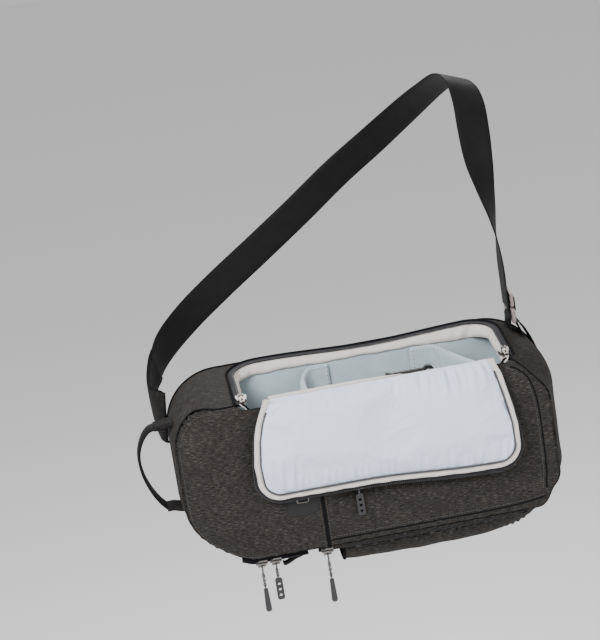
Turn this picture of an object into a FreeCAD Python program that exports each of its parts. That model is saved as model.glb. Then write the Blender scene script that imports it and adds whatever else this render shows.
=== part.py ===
"""Sling camera bag, worn across the chest with its side hatch folded open.

Writes one STEP per sub-part to parts/. All sizes are millimetres.
X runs along the bag from its crown (the end with the grab handle) to its base,
Y runs from the front panel (-Y) to the back panel that lies on the wearer (+Y), Z is up.
Everything is modelled about the middle of the bag and moved at export, so that the
origin of the part is the place where the strap rests on the shoulder.
"""

import FreeCAD
import Part

import math
import os

V = FreeCAD.Vector
X_AXIS = V(1, 0, 0)
Y_AXIS = V(0, 1, 0)
Z_AXIS = V(0, 0, 1)

# ---------------------------------------------------------------- driving sizes
SHOULDER = V(179, 148, 349)  # where the strap rests, measured from the bag's middle

BODY_LEFT, BODY_RIGHT = -209.0, 213.0  # crown end and base end
BODY_BOTTOM, BODY_TOP = -92.0, 100.0
BODY_FRONT, BODY_BACK = -59.0, 66.0
CORNER = {"top_left": 60.0, "top_right": 66.0, "bottom_right": 42.0, "bottom_left": 72.0}

FABRIC = 1.5  # outer cloth with its backing
FOAM = 4.5  # side padding
LINING = 1.0
SKIN = FABRIC + FOAM + LINING  # outer face to the inside of the lining
PIPING = 1.6  # how far the corded seams stand out

GUSSET_BACK = 60.0  # where the side wall meets the back panel
FOAM_FRONT, CAVITY_FRONT = -49.0, -43.0
CAVITY_BACK = 49.4
SHEET_FRONT = 59.0  # stiffening sheet behind the back padding

# the hatch: a flap that turns about an axis along X, just in front of its front edge
HINGE_Y, HINGE_Z = -62.0, 90.0
CLOSED_ANGLE = 4.5  # the rim rises a little towards the back
REST_ANGLE = 264.0  # folded right over, hanging in front of the bag
FLAP_HALF = 3.0  # half the thickness of the flap's edge
FLAP_START = 7.0  # from the hinge axis to the flap's edge
PILLOW = 8.0  # how far the padded lining stands off the flap
PILLOW_INSET, PILLOW_START = 6.0, 13.0  # inside the flap's edge, and from the hinge axis
PILLOW_ROOM = 0.8  # free space that the walls leave round the pillow when the hatch is shut

# zip of the hatch: its centre line is a U, and "off" below is the distance outside it
ZIP_LEFT, ZIP_RIGHT, ZIP_REAR, ZIP_ROUND = -129.5, 158.0, 111.5, 28.0
TAPE_LEVEL = 2.0  # height of the tape's middle over the hinge axis, hatch closed
TAPE_HALF = 0.4
COIL_NEAR, COIL_FAR, COIL_HALF = 0.7, 2.7, 1.0
TAPE_FAR = 7.5
RIM_DROP = -6.5  # the walls are cut down to this level under the hatch
BINDING_NEAR, BINDING_STEP = 3.0, 6.5  # the binding is low from the first to the second, for the sliders
FLAP_EDGE = -6.7  # the flap's own edge, inside the centre line

# slider, in its own frame: it travels along Y and stands up along Z from the tape
SLIDER_HALF_WIDE, SLIDER_NOSE, SLIDER_TAIL_WIDE = 6.0, 6.5, 4.8
PLATE_NEAR, PLATE_FAR = 1.3, 2.5
LIP_WIDE, LIP_NEAR = 1.0, 0.7
BAIL_LOW, BAIL_HIGH, BAIL_LONG, BAIL_POST = 5.4, 7.0, 4.5, 1.3
BAIL_MID = (BAIL_LOW + BAIL_HIGH) / 2
EAR_IN, EAR_OUT, EAR_HIGH, PIN_R, PIN_PLAY = 1.7, 2.7, 5.9, 0.8, 0.05
PIN_LEVEL = 4.3

PARK = 17.0  # hatch sliders wait this far from the hinge axis
STASH_Z, STASH_LEFT, STASH_RIGHT, STASH_SLIDER = -20.0, -40.0, 118.0, -21.5
BELLY_Y = -48.0
BELLY_SPAN = (-166.0, -84.0)
POCKET_SPAN = (-74.0, 160.0)
BELLY_SLIDERS = (-137.0, -121.5)
POCKET_SLIDER = -64.0
SLOT_HALF = 6.5  # half the gap in the cloth behind a zip
ZIP_TAPE_OUT = 8.0

CORD_R, CORD_LOOP = 0.9, 2.4
OUTER_DROP, INNER_DROP, POCKET_DROP, STASH_DROP = 27.0, 17.0, 30.0, 9.0  # bail to top of grip
GRIP_LONG, GRIP_R = 27.0, 3.4
PLATE_LONG, PLATE_WIDE, PLATE_THICK, PLATE_HOLE = 25.0, 8.0, 2.4, 1.7

POUCH_FRONT, POUCH_BACK, POUCH_LOW_Y = -38.0, 50.0, -12.0
POUCH_STATIONS = [(-45.0, 31.0), (20.0, 33.0), (95.0, 32.0), (135.0, 26.0), (172.0, 12.0)]

HANDLE_Y, HANDLE_HALF, HANDLE_THICK = 10.0, 10.0, 3.4
HANDLE_ROOT_X, HANDLE_PIVOT_X = -209.0, -219.0
HANDLE_TOP, HANDLE_BOTTOM = 62.0, -32.0
HANDLE_GAP = 6.3

RING_X, STRAP_Y, WEB_HALF, WEB = 184.0, 39.0, 19.0, 1.6
RING_LOW, RING_HIGH, RING_WIRE = 104.5, 117.0, 2.1
GLIDE_MID = 129.0
WRAP_IN = 2.6
WRAP_OUT = WRAP_IN + WEB
STRAP_START = 141.0
STRAP_PLAY = 0.4  # between the fixed webbing and the end that moves with the adjuster

# the strap's middle line: place, and the direction of its width
STRAP_ROUTE = [
    ((180.6, 39, 141), (0, 1, 0)),
    ((180.6, 39, 165), (0, 1, 0)),
    ((180.4, 41, 190), (0.1, 1, 0)),
    ((179.5, 48, 218), (0.32, 0.94, 0)),
    ((178, 60, 246), (0.6, 0.78, 0)),
    ((177.5, 76, 276), (0.88, 0.46, -0.03)),
    ((179.5, 96, 306), (0.98, 0.18, -0.12)),
    ((181.5, 120, 333), (0.95, 0.05, -0.28)),
    ((179, 148, 350), (0.92, 0.1, -0.38)),
    ((171, 184, 350), (0.9, 0.2, -0.38)),
    ((154, 222, 331), (0.82, 0.28, -0.48)),
    ((125, 252, 303), (0.66, 0.25, -0.7)),
    ((86, 271, 271), (0.6, 0.12, -0.79)),
    ((40, 281, 238), (0.6, 0.05, -0.8)),
    ((-12, 282, 200), (0.56, 0, -0.83)),
    ((-66, 274, 165), (0.5, -0.04, -0.86)),
    ((-118, 254, 136), (0.42, -0.08, -0.9)),
    ((-163, 222, 113), (0.3, -0.1, -0.95)),
    ((-196, 182, 95), (0.18, -0.05, -0.98)),
    ((-214, 140, 80), (0.08, 0.1, -0.99)),
]
STRAP_STEPS = 3  # sections between one place of the route and the next

YOKE_ROUTE = [
    ((-214.2, 137.6, 79.2), (0.08, 0.1, -0.99), 19.0),
    ((-220, 110, 69), (0.04, 0.2, -0.98), 22.0),
    ((-221, 84, 61), (0.03, 0.2, -0.98), 27.0),
    ((-216.5, 64, 56), (0.02, 0.1, -0.99), 31.0),
]
YOKE_THICK = 3.6

DIVIDER = 8.0
CLIP_X, CLIP_Y, CLIP_R = 38.0, 10.0, 4.5
SHELF_TOP = 62.0


# ---------------------------------------------------------------- helpers
def box(x0, x1, y0, y1, z0, z1):
    """A box between two corners."""
    return Part.makeBox(x1 - x0, y1 - y0, z1 - z0, V(x0, y0, z0))


def group(*shapes):
    """Several solids kept apart in one node."""
    solids = []
    for shape in shapes:
        solids.extend(shape.Solids)
    return Part.makeCompound(solids)


def arc(start, middle, end):
    """An edge through three points."""
    return Part.Arc(start, middle, end).toShape()


def outline(inset, y):
    """The bag's outline in the XZ plane, drawn in by inset."""
    x0, x1 = BODY_LEFT + inset, BODY_RIGHT - inset
    z0, z1 = BODY_BOTTOM + inset, BODY_TOP - inset
    r = {name: radius - inset for name, radius in CORNER.items()}
    corners = [
        (V(x1 - r["top_right"], y, z1 - r["top_right"]), r["top_right"], 90),
        (V(x1 - r["bottom_right"], y, z0 + r["bottom_right"]), r["bottom_right"], 0),
        (V(x0 + r["bottom_left"], y, z0 + r["bottom_left"]), r["bottom_left"], -90),
        (V(x0 + r["top_left"], y, z1 - r["top_left"]), r["top_left"], -180),
    ]
    edges = []
    last = None
    first = None
    for centre, radius, start in corners:
        points = []
        for turn in (0, -45, -90):
            angle = math.radians(start + turn)
            points.append(centre + V(radius * math.cos(angle), 0, radius * math.sin(angle)))
        if last:
            edges.append(Part.makeLine(last, points[0]))
        else:
            first = points[0]
        edges.append(arc(*points))
        last = points[2]
    edges.append(Part.makeLine(last, first))
    return Part.Wire(edges)


def plate(inset, y0, y1):
    """A slab with the bag's outline, from y0 to y1."""
    return Part.Face(outline(inset, y0)).extrude(V(0, y1 - y0, 0))


def wall(inset_out, inset_in, y0, y1):
    """A wall that follows the outline all the way round."""
    return plate(inset_out, y0, y1).cut(plate(inset_in, y0 - 1, y1 + 1))


def rim_curve(off, start):
    """The U of the hatch's zip at a distance outside its centre line, as edges from left to right."""
    left, right, rear, r = ZIP_LEFT - off, ZIP_RIGHT + off, ZIP_REAR + off, ZIP_ROUND + off
    slant = r * (1 - math.cos(math.radians(45)))
    return [
        Part.makeLine(V(left, start, 0), V(left, rear - r, 0)),
        arc(V(left, rear - r, 0), V(left + slant, rear - slant, 0), V(left + r, rear, 0)),
        Part.makeLine(V(left + r, rear, 0), V(right - r, rear, 0)),
        arc(V(right - r, rear, 0), V(right - slant, rear - slant, 0), V(right, rear - r, 0)),
        Part.makeLine(V(right, rear - r, 0), V(right, start, 0)),
    ]


def rim_field(off, start, low, high):
    """The whole area inside the U at a distance, as a slab from low to high."""
    edges = rim_curve(off, start)
    edges.append(Part.makeLine(V(ZIP_RIGHT + off, start, 0), V(ZIP_LEFT - off, start, 0)))
    face = Part.Face(Part.Wire(edges))
    face.translate(V(0, 0, low))
    return face.extrude(V(0, 0, high - low))


def rim_band(near, far, start, low, high):
    """A band along the U between two distances, as a slab."""
    outer = rim_field(max(near, far), start, low, high)
    inner = rim_field(min(near, far), start - 1, low - 1, high + 1)
    return outer.cut(inner)


def hatch_frame(shape, angle):
    """Moves a shape drawn about the hinge axis to where the hatch is at an angle."""
    shape.rotate(V(0, 0, 0), X_AXIS, angle)
    shape.translate(V(0, HINGE_Y, HINGE_Z))
    return shape


def on_rim(shape):
    """Places a shape that stays on the bag beside the closed hatch."""
    return hatch_frame(shape, CLOSED_ANGLE)


def on_flap(shape):
    """Places a shape that belongs to the flap, folded open."""
    return hatch_frame(shape, REST_ANGLE)


def opening_cut():
    """What the hatch and its pillow take out of the walls."""
    field = rim_field(TAPE_FAR, -12.0, RIM_DROP, 70.0)
    near, low = PILLOW_START - PILLOW_ROOM, -FLAP_HALF - PILLOW - PILLOW_ROOM
    room = rim_field(FLAP_EDGE - PILLOW_INSET + PILLOW_ROOM, near, low, RIM_DROP + 1.0)
    return on_rim(field.fuse(room))


def front_to_up(shape, x, z):
    """Stands a slider or tape, drawn flat, on the front panel, travelling along X."""
    shape.rotate(V(0, 0, 0), Z_AXIS, -90)
    shape.rotate(V(0, 0, 0), X_AXIS, 90)
    shape.translate(V(x, BODY_FRONT - TAPE_HALF, z))
    return shape


def under(shape, x):
    """Hangs a slider or tape, drawn flat, under the bag, travelling along X."""
    shape.rotate(V(0, 0, 0), Z_AXIS, -90)
    shape.rotate(V(0, 0, 0), X_AXIS, 180)
    shape.translate(V(x, BELLY_Y, BODY_BOTTOM - TAPE_HALF))
    return shape


# ---------------------------------------------------------------- shell
def shell_parts():
    """Cloth panels, padding, stiffener and lining of the bag."""
    cut = opening_cut()
    slot_front = box(
        STASH_LEFT, STASH_RIGHT, BODY_FRONT - 1, FOAM_FRONT, STASH_Z - SLOT_HALF, STASH_Z + SLOT_HALF
    )
    slots_under = box(
        BELLY_SPAN[0],
        POCKET_SPAN[1],
        BELLY_Y - SLOT_HALF,
        BELLY_Y + SLOT_HALF,
        BODY_BOTTOM - 1,
        BODY_BOTTOM + 3.5,
    )
    face_back = BODY_FRONT + FABRIC
    parts = {}
    parts["front_panel"] = plate(FABRIC, BODY_FRONT, face_back).cut(cut).cut(slot_front)
    side = wall(0, FABRIC, face_back, GUSSET_BACK).cut(cut).cut(slots_under)
    wide = 600.0
    crown = box(-wide, -100, -wide, wide, -30, wide)
    base = box(100, wide, -wide, wide, -30, wide)
    middle = box(-100, 100, -wide, wide, -30, wide)
    parts["crown_hood"] = side.common(crown)
    parts["base_hood"] = side.common(base)
    parts["rear_lip"] = side.common(middle)
    parts["underside_gusset"] = side.common(box(-wide, wide, -wide, wide, -wide, -30))
    front_piping = wall(-PIPING, FABRIC, BODY_FRONT, face_back).cut(cut)
    back_piping = wall(-PIPING, 0, GUSSET_BACK - FABRIC, GUSSET_BACK)
    parts["seam_piping"] = group(front_piping, back_piping)
    parts["back_panel"] = plate(3.0, GUSSET_BACK, BODY_BACK)
    parts["stiffening_sheet"] = plate(SKIN, SHEET_FRONT, GUSSET_BACK).cut(cut)

    inner = FABRIC + FOAM
    padding_back = CAVITY_BACK + LINING
    parts["front_padding"] = plate(FABRIC, FOAM_FRONT, CAVITY_FRONT - LINING).cut(cut).cut(slots_under)
    parts["back_padding"] = plate(FABRIC, padding_back, SHEET_FRONT).cut(cut)
    ring = wall(FABRIC, inner, CAVITY_FRONT - LINING, padding_back).cut(cut).cut(slots_under)
    floor_from = BODY_LEFT + CORNER["bottom_left"]
    floor_to = BODY_RIGHT - CORNER["bottom_right"]
    parts["floor_padding"] = ring.common(box(floor_from, floor_to, -wide, wide, -wide, 0))
    parts["crown_padding"] = ring.common(box(-wide, floor_from, -wide, wide, -wide, wide))
    base_keep = box(floor_to, wide, -wide, wide, -wide, wide)
    parts["base_padding"] = ring.common(base_keep)
    top_right = box(120, floor_to, -wide, wide, 0, wide)
    parts["base_padding"] = parts["base_padding"].fuse(ring.common(top_right)).removeSplitter()
    tub = plate(inner, CAVITY_FRONT - LINING, padding_back)
    hollow = plate(SKIN, CAVITY_FRONT, CAVITY_BACK)
    parts["lining_tub"] = tub.cut(hollow).cut(cut)
    parts["pocket_lining"] = pocket_lining()
    parts["hinge_spine"] = on_rim(
        box(ZIP_LEFT + 8, ZIP_RIGHT - 8, 3.2, 6.0, RIM_DROP + 0.1, 1.0)
    )
    return parts


def pocket_lining():
    """Cloth that lines the front pocket, against the padded wall behind it."""
    return plate(6.0, FOAM_FRONT - 0.6, FOAM_FRONT).cut(opening_cut())


def rim_parts():
    """Binding, tape and coil that stay on the bag round the hatch."""
    level = TAPE_LEVEL
    under_slider = level - PLATE_FAR - 0.35
    low = rim_band(BINDING_NEAR, TAPE_FAR, 6.0, RIM_DROP, under_slider)
    high = rim_band(BINDING_STEP, TAPE_FAR, 6.0, under_slider, level - TAPE_HALF)
    return {
        "opening_binding": on_rim(low.fuse(high).removeSplitter()),
        "opening_zip": group(
            on_rim(rim_band(COIL_FAR, TAPE_FAR, 6.0, level - TAPE_HALF, level + TAPE_HALF)),
            on_rim(rim_band(COIL_NEAR, COIL_FAR, 6.0, level - COIL_HALF, level + COIL_HALF)),
        ),
    }


def flap_parts():
    """The hatch: outer cloth, foam, padded lining, binding, and its half of the zip."""
    edge = FLAP_EDGE
    inside = edge - PILLOW_INSET
    level = TAPE_LEVEL
    past_slider = PARK + SLIDER_NOSE + 2.5
    frame = rim_field(edge, FLAP_START, -FLAP_HALF - 2.0, -FLAP_HALF)
    field = rim_field(inside, PILLOW_START, -FLAP_HALF - 3.0, -FLAP_HALF + 1.0)
    pillow = rim_field(inside, PILLOW_START, -FLAP_HALF - PILLOW, -FLAP_HALF)
    pillow = pillow.makeFillet(5.0, top_edges(pillow, -FLAP_HALF - PILLOW))
    return {
        "flap_cover": on_flap(rim_field(edge, FLAP_START, FLAP_HALF - 1.2, FLAP_HALF)),
        "flap_foam": on_flap(rim_field(edge, FLAP_START, -FLAP_HALF, FLAP_HALF - 1.2)),
        "flap_binding": on_flap(frame.cut(field)),
        "flap_lining": on_flap(pillow),
        "flap_zip": group(
            on_flap(rim_band(edge, -COIL_FAR, past_slider, level - TAPE_HALF, level + TAPE_HALF)),
            on_flap(
                rim_band(-COIL_FAR, -COIL_NEAR, past_slider, level - COIL_HALF, level + COIL_HALF)
            ),
        ),
    }


def top_edges(solid, level):
    """The edges of a slab that lie at one height."""
    found = []
    for edge in solid.Edges:
        heights = [v.Z for v in edge.Vertexes]
        if all(abs(z - level) < 1e-6 for z in heights):
            found.append(edge)
    return found


# ---------------------------------------------------------------- zips
def slider_plates():
    """The two plates of a slider with their lips and the wedge between the rows of teeth."""
    points = [
        (-SLIDER_HALF_WIDE, SLIDER_NOSE),
        (SLIDER_HALF_WIDE, SLIDER_NOSE),
        (SLIDER_HALF_WIDE, 0),
        (SLIDER_TAIL_WIDE, -SLIDER_NOSE),
        (-SLIDER_TAIL_WIDE, -SLIDER_NOSE),
        (-SLIDER_HALF_WIDE, 0),
    ]
    wire = Part.makePolygon([V(x, y, 0) for x, y in points + points[:1]])
    face = Part.Face(wire)

    def layer(low, high):
        slab = face.copy()
        slab.translate(V(0, 0, low))
        return slab.extrude(V(0, 0, high - low))

    body = layer(-PLATE_FAR, -PLATE_NEAR).fuse(layer(PLATE_NEAR, PLATE_FAR))
    inner = SLIDER_TAIL_WIDE - LIP_WIDE
    core = box(-inner, inner, -20, 20, -20, 20)
    for low, high in ((-PLATE_NEAR, -LIP_NEAR), (LIP_NEAR, PLATE_NEAR)):
        body = body.fuse(layer(low, high).cut(core))
    wedge = box(-0.4, 0.4, SLIDER_NOSE - 3.0, SLIDER_NOSE, -PLATE_NEAR, PLATE_NEAR)
    return body.fuse(wedge)


def cord_slider():
    """A slider with an arched bail for a cord pull."""
    bail = box(-1.0, 1.0, -BAIL_LONG, BAIL_LONG, PLATE_FAR - 0.2, BAIL_HIGH)
    reach = BAIL_LONG - BAIL_POST
    bail = bail.cut(box(-2, 2, -reach, reach, PLATE_FAR, BAIL_LOW))
    return slider_plates().fuse(bail).removeSplitter()


def tab_slider():
    """A slider with two ears and a pin for a metal tab."""
    body = slider_plates()
    for side in (-1, 1):
        x0, x1 = sorted((side * EAR_IN, side * EAR_OUT))
        body = body.fuse(box(x0, x1, -1.8, 1.8, PLATE_FAR - 0.2, EAR_HIGH))
    pin = Part.makeCylinder(PIN_R, 2 * EAR_OUT, V(-EAR_OUT, 0, PIN_LEVEL), X_AXIS)
    return body.fuse(pin).removeSplitter()


def metal_tab():
    """The tab on a hatch slider, turned towards the hinge."""
    wide = EAR_IN - 0.3
    barrel = Part.makeCylinder(1.5, 2 * wide, V(-wide, 0, PIN_LEVEL), X_AXIS)
    neck = box(-wide, wide, -5.5, 0, PIN_LEVEL - 0.6, PIN_LEVEL + 0.6)
    leaf = box(-2.6, 2.6, -17.0, -5.0, PIN_LEVEL - 0.6, PIN_LEVEL + 0.6)
    leaf = leaf.cut(box(-1.2, 1.2, -15.2, -9.0, PIN_LEVEL - 2, PIN_LEVEL + 2))
    tab = barrel.fuse(neck).fuse(leaf)
    bore = Part.makeCylinder(PIN_R + PIN_PLAY, 4 * wide, V(-2 * wide, 0, PIN_LEVEL), X_AXIS)
    return tab.cut(bore).removeSplitter()


def straight_zip(start, end):
    """Both tapes and both coils of a closed zip along Y, with its end stops."""
    pieces = []
    for side in (-1, 1):
        t0, t1 = sorted((side * COIL_FAR, side * ZIP_TAPE_OUT))
        c0, c1 = sorted((side * COIL_NEAR, side * COIL_FAR))
        pieces.append(box(t0, t1, start, end, -TAPE_HALF, TAPE_HALF))
        pieces.append(box(c0, c1, start + 3.0, end - 3.0, -COIL_HALF, COIL_HALF))
    for y in (start + 0.5, end - 2.5):
        pieces.append(box(-COIL_FAR, COIL_FAR, y, y + 2.0, -COIL_HALF, COIL_HALF))
    return group(*pieces)


def hatch_slider_parts():
    """The two sliders of the hatch, waiting by the hinge, and their tabs."""
    parts = {}
    for name, x in (("crown", ZIP_LEFT), ("base", ZIP_RIGHT)):
        place = V(x, PARK, TAPE_LEVEL)
        slider, tab = tab_slider(), metal_tab()
        slider.translate(place)
        tab.translate(place)
        parts[f"hatch_slider_{name}"] = on_rim(slider)
        parts[f"hatch_tab_{name}"] = on_rim(tab)
    return parts


def cord_pull(drop):
    """A cord loop from the bail, with both legs side by side, drawn along -Y from the bar."""
    left, right = V(-CORD_LOOP, 0, 0), V(CORD_LOOP, 0, 0)
    path = Part.Wire(
        [
            Part.makeLine(V(-CORD_LOOP, -drop, 0), left),
            arc(left, V(0, CORD_LOOP, 0), right),
            Part.makeLine(right, V(CORD_LOOP, -drop, 0)),
        ]
    )
    disc = Part.Wire([Part.makeCircle(CORD_R, V(-CORD_LOOP, -drop, 0), Y_AXIS)])
    return path.makePipeShell([disc], True, True)


def drop_grip(drop):
    """A slim teardrop grip below the cord: a cone with a round end."""
    round_end = -drop - GRIP_LONG + GRIP_R
    cone = Part.makeCone(GRIP_R, 0.7 * GRIP_R, -drop - round_end, V(0, round_end, 0), Y_AXIS)
    return cone.fuse(Part.makeSphere(GRIP_R, V(0, round_end, 0))).removeSplitter()


def plate_grip(drop):
    """A flat grip with three round holes."""
    half = PLATE_WIDE / 2
    low = -drop - PLATE_LONG
    body = box(-half, half, low, -drop, -PLATE_THICK / 2, PLATE_THICK / 2)
    upright = [e for e in body.Edges if abs(e.tangentAt(e.FirstParameter).z) > 0.9]
    body = body.makeFillet(2.5, upright)
    for step in range(3):
        centre = V(0, low + 5.0 + 6.5 * step, -5)
        body = body.cut(Part.makeCylinder(PLATE_HOLE, 10, centre, Z_AXIS))
    return body


def hang(shape, place, across):
    """Turns a pull drawn along -Y so that it hangs down, its loop across the bail, at a place."""
    shape.rotate(V(0, 0, 0), X_AXIS, 90)
    shape.rotate(V(0, 0, 0), Z_AXIS, across)
    shape.translate(place)
    return shape


def pull_parts(name, place, kind, drop):
    """Cord and grip of one pull, hanging from the middle of its bail."""
    grip = drop_grip(drop) if kind == "drop" else plate_grip(drop)
    return {
        f"{name}_cord": hang(cord_pull(drop), place, 90),
        f"{name}_grip": hang(grip, place, 90 if kind == "drop" else 0),
    }


def front_zip_parts():
    """The zip of the stash pocket on the front, its slider and its pull."""
    parts = {
        "stash_zip": front_to_up(straight_zip(STASH_LEFT, STASH_RIGHT), 0, STASH_Z),
        "stash_slider": front_to_up(cord_slider(), STASH_SLIDER, STASH_Z),
    }
    bar = V(STASH_SLIDER, BODY_FRONT - TAPE_HALF - BAIL_MID, STASH_Z)
    parts.update(stash_pull(bar))
    return parts


def stash_pull(bar):
    """The front pull: its loop goes round the bail and hangs down in front of the panel."""
    drop = STASH_DROP
    half = PLATE_WIDE / 2
    loop = Part.makeTorus(CORD_LOOP, CORD_R, V(0, 0, 0), X_AXIS)
    leg = Part.makeCylinder(CORD_R, drop - CORD_LOOP, V(0, 0, -drop), Z_AXIS)
    cord = loop.fuse(leg).removeSplitter()
    cord.translate(bar)
    grip = box(-half, half, -PLATE_THICK / 2, PLATE_THICK / 2, -drop - PLATE_LONG, -drop)
    upright = [e for e in grip.Edges if abs(e.tangentAt(e.FirstParameter).y) > 0.9]
    grip = grip.makeFillet(2.5, upright)
    for step in range(3):
        centre = V(0, -5, -drop - PLATE_LONG + 5.0 + 6.5 * step)
        grip = grip.cut(Part.makeCylinder(PLATE_HOLE, 10, centre, Y_AXIS))
    grip.translate(bar)
    return {"stash_pull_cord": cord, "stash_pull_grip": grip}


def belly_zip_parts():
    """The two zips under the bag, with three sliders and three hanging pulls."""
    parts = {}
    for name, span in (("belly", BELLY_SPAN), ("pocket", POCKET_SPAN)):
        parts[f"{name}_zip"] = under(straight_zip(*span), 0)
    level = BODY_BOTTOM - TAPE_HALF - BAIL_MID
    pulls = (
        ("belly_pull_outer", "belly_slider_outer", BELLY_SLIDERS[0], "drop", OUTER_DROP),
        ("belly_pull_inner", "belly_slider_inner", BELLY_SLIDERS[1], "plate", INNER_DROP),
        ("pocket_pull", "pocket_slider", POCKET_SLIDER, "drop", POCKET_DROP),
    )
    for pull, slider, x, kind, drop in pulls:
        parts[slider] = under(cord_slider(), x)
        parts.update(pull_parts(pull, V(x, BELLY_Y, level), kind, drop))
    return parts


# ---------------------------------------------------------------- trim on the front and underside
def trim_parts():
    """Placket, blank patch, and the bellows pocket for a bottle."""
    return {
        "placket": box(-64, -59, BODY_FRONT - 1.2, BODY_FRONT, -86, -11),
        "blank_patch": box(-101, -66, BODY_FRONT - 1.0, BODY_FRONT, -46, -13),
        "bottle_pocket": bottle_pocket(),
    }


def bellows_section(inset, x, depth):
    """A wire like a sagging bow: flat along the underside, fullest near its front."""
    level = BODY_BOTTOM
    front, back = POUCH_FRONT + inset, POUCH_BACK - inset
    deep = depth - inset
    points = [
        V(x, front, level),
        V(x, front + 4, level - 0.6 * deep),
        V(x, POUCH_LOW_Y, level - deep),
        V(x, POUCH_LOW_Y + 0.6 * (back - POUCH_LOW_Y), level - 0.7 * deep),
        V(x, back, level),
    ]
    bow = Part.BSplineCurve()
    bow.interpolate(points)
    return Part.Wire([bow.toShape(), Part.makeLine(points[-1], points[0])])


def bellows(inset, stations):
    """A bow-shaped solid through stations of place along X and depth."""
    sections = [bellows_section(inset, x, depth) for x, depth in stations]
    return Part.makeLoft(sections, True, False)


def bottle_pocket():
    """The bellows pocket: open at the crown end, shallower towards the base, closed there."""
    outer = bellows(0.0, POUCH_STATIONS)
    last_x, last_depth = POUCH_STATIONS[-1]
    hollow = [(POUCH_STATIONS[0][0] - 1.0, POUCH_STATIONS[0][1])] + POUCH_STATIONS[1:-1]
    inner = bellows(FABRIC, hollow + [(last_x - FABRIC, last_depth)])
    return outer.cut(inner).removeSplitter()


# ---------------------------------------------------------------- inside
def inside_parts():
    """Dividers, the shelf between them, and the tether with its clip."""
    low = BODY_BOTTOM + SKIN + 0.5
    front, back = CAVITY_FRONT + 0.4, CAVITY_BACK - 0.4
    left = box(-60, -60 + DIVIDER, front, back, low, 79)
    left = left.fuse(box(-52, -24, back - 2.8, back, 20, 83)).removeSplitter()
    right = slanted_board(100.0, 136.0, front, back, low, 79)
    right = right.fuse(box(67, 104, back - 2.8, back, 20, 84)).removeSplitter()
    shelf = box(-51.5, 104, CLIP_Y - 4, CLIP_Y + 4, low, SHELF_TOP)
    return {
        "divider_crown": left,
        "divider_base": right,
        "divider_shelf": shelf,
        "tether_ribbon": tether_ribbon(),
        "tether_clip": tether_clip(),
    }


def slanted_board(x_back, x_front, y_front, y_back, z0, z1):
    """A divider that runs aslant from the back wall to the front wall."""
    points = [
        V(x_back, y_back, z0),
        V(x_back + DIVIDER, y_back, z0),
        V(x_front + DIVIDER, y_front, z0),
        V(x_front, y_front, z0),
    ]
    return Part.Face(Part.makePolygon(points + points[:1])).extrude(V(0, 0, z1 - z0))


def tether_ribbon():
    """A flat ribbon from its sewn end on the shelf to the clip."""
    return box(-13, CLIP_X - 5.2, CLIP_Y - 3.0, CLIP_Y + 3.0, SHELF_TOP + 0.4, SHELF_TOP + 1.4)


def tether_clip():
    """A moulded clip: flared socket, round shank and an eye."""
    z = SHELF_TOP + CLIP_R + 2.4
    axis = V(1, 0, 0)
    flare = Part.makeCone(6.4, CLIP_R, 6.0, V(CLIP_X - 4, CLIP_Y, z), axis)
    shank = Part.makeCylinder(CLIP_R, 36.0, V(CLIP_X + 2, CLIP_Y, z), axis)
    eye = Part.makeCylinder(6.4, 5.0, V(CLIP_X + 43, CLIP_Y - 2.5, z), Y_AXIS)
    hole = Part.makeCylinder(2.8, 12.0, V(CLIP_X + 43, CLIP_Y - 6, z), Y_AXIS)
    return flare.fuse(shank).fuse(eye).cut(hole).removeSplitter()


# ---------------------------------------------------------------- handle and strap
def handle_parts():
    """The grab handle on the crown end and the two tabs that it is sewn into."""
    parts = {}
    for name, z in (("upper", HANDLE_TOP), ("lower", HANDLE_BOTTOM)):
        half = 2.6
        outer = HANDLE_PIVOT_X - 5.5
        y0, y1 = HANDLE_Y - HANDLE_HALF, HANDLE_Y + HANDLE_HALF
        points = [
            V(HANDLE_ROOT_X + 8, y0, z - half),
            V(HANDLE_PIVOT_X, y0, z - half),
            V(outer, HANDLE_Y - 1, z - half),
            V(outer, HANDLE_Y + 1, z - half),
            V(HANDLE_PIVOT_X, y1, z - half),
            V(HANDLE_ROOT_X + 8, y1, z - half),
        ]
        tab = Part.Face(Part.makePolygon(points + points[:1])).extrude(V(0, 0, 2 * half))
        parts[f"handle_tab_{name}"] = tab.cut(plate(0, -200, 200))
    parts["grab_handle"] = grab_handle()
    return parts


def handle_curve(shift):
    """One side of the handle's loop, shifted inwards."""
    start_x = HANDLE_PIVOT_X - HANDLE_GAP
    top, low = HANDLE_TOP, HANDLE_BOTTOM
    half = HANDLE_THICK / 2
    s = shift
    y = HANDLE_Y - HANDLE_HALF
    return [
        V(start_x, y, top + half - s),
        V(-238.5 + 0.7 * s, y, top - 9.0 - 0.7 * s),
        V(-249 + s, y, 24),
        V(-241 + 0.8 * s, y, -11 + 0.5 * s),
        V(start_x, y, low - half + s),
    ]


def grab_handle():
    """A band of folded webbing bent into a loop."""
    outer, inner = handle_curve(0.0), handle_curve(HANDLE_THICK)
    edges = [
        arc(outer[0], outer[1], outer[2]),
        arc(outer[2], outer[3], outer[4]),
        Part.makeLine(outer[4], inner[4]),
        arc(inner[4], inner[3], inner[2]),
        arc(inner[2], inner[1], inner[0]),
        Part.makeLine(inner[0], outer[0]),
    ]
    return Part.Face(Part.Wire(edges)).extrude(V(0, 2 * HANDLE_HALF, 0))


def ring_ends(y_half, z0, z1, x_half, wire):
    """A flat metal frame with rounded outer corners, its bars along Y."""
    frame = box(RING_X - x_half, RING_X + x_half, STRAP_Y - y_half, STRAP_Y + y_half, z0, z1)
    long_edges = [e for e in frame.Edges if abs(e.tangentAt(e.FirstParameter).x) > 0.9]
    frame = frame.makeFillet(wire, long_edges)
    return frame


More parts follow.
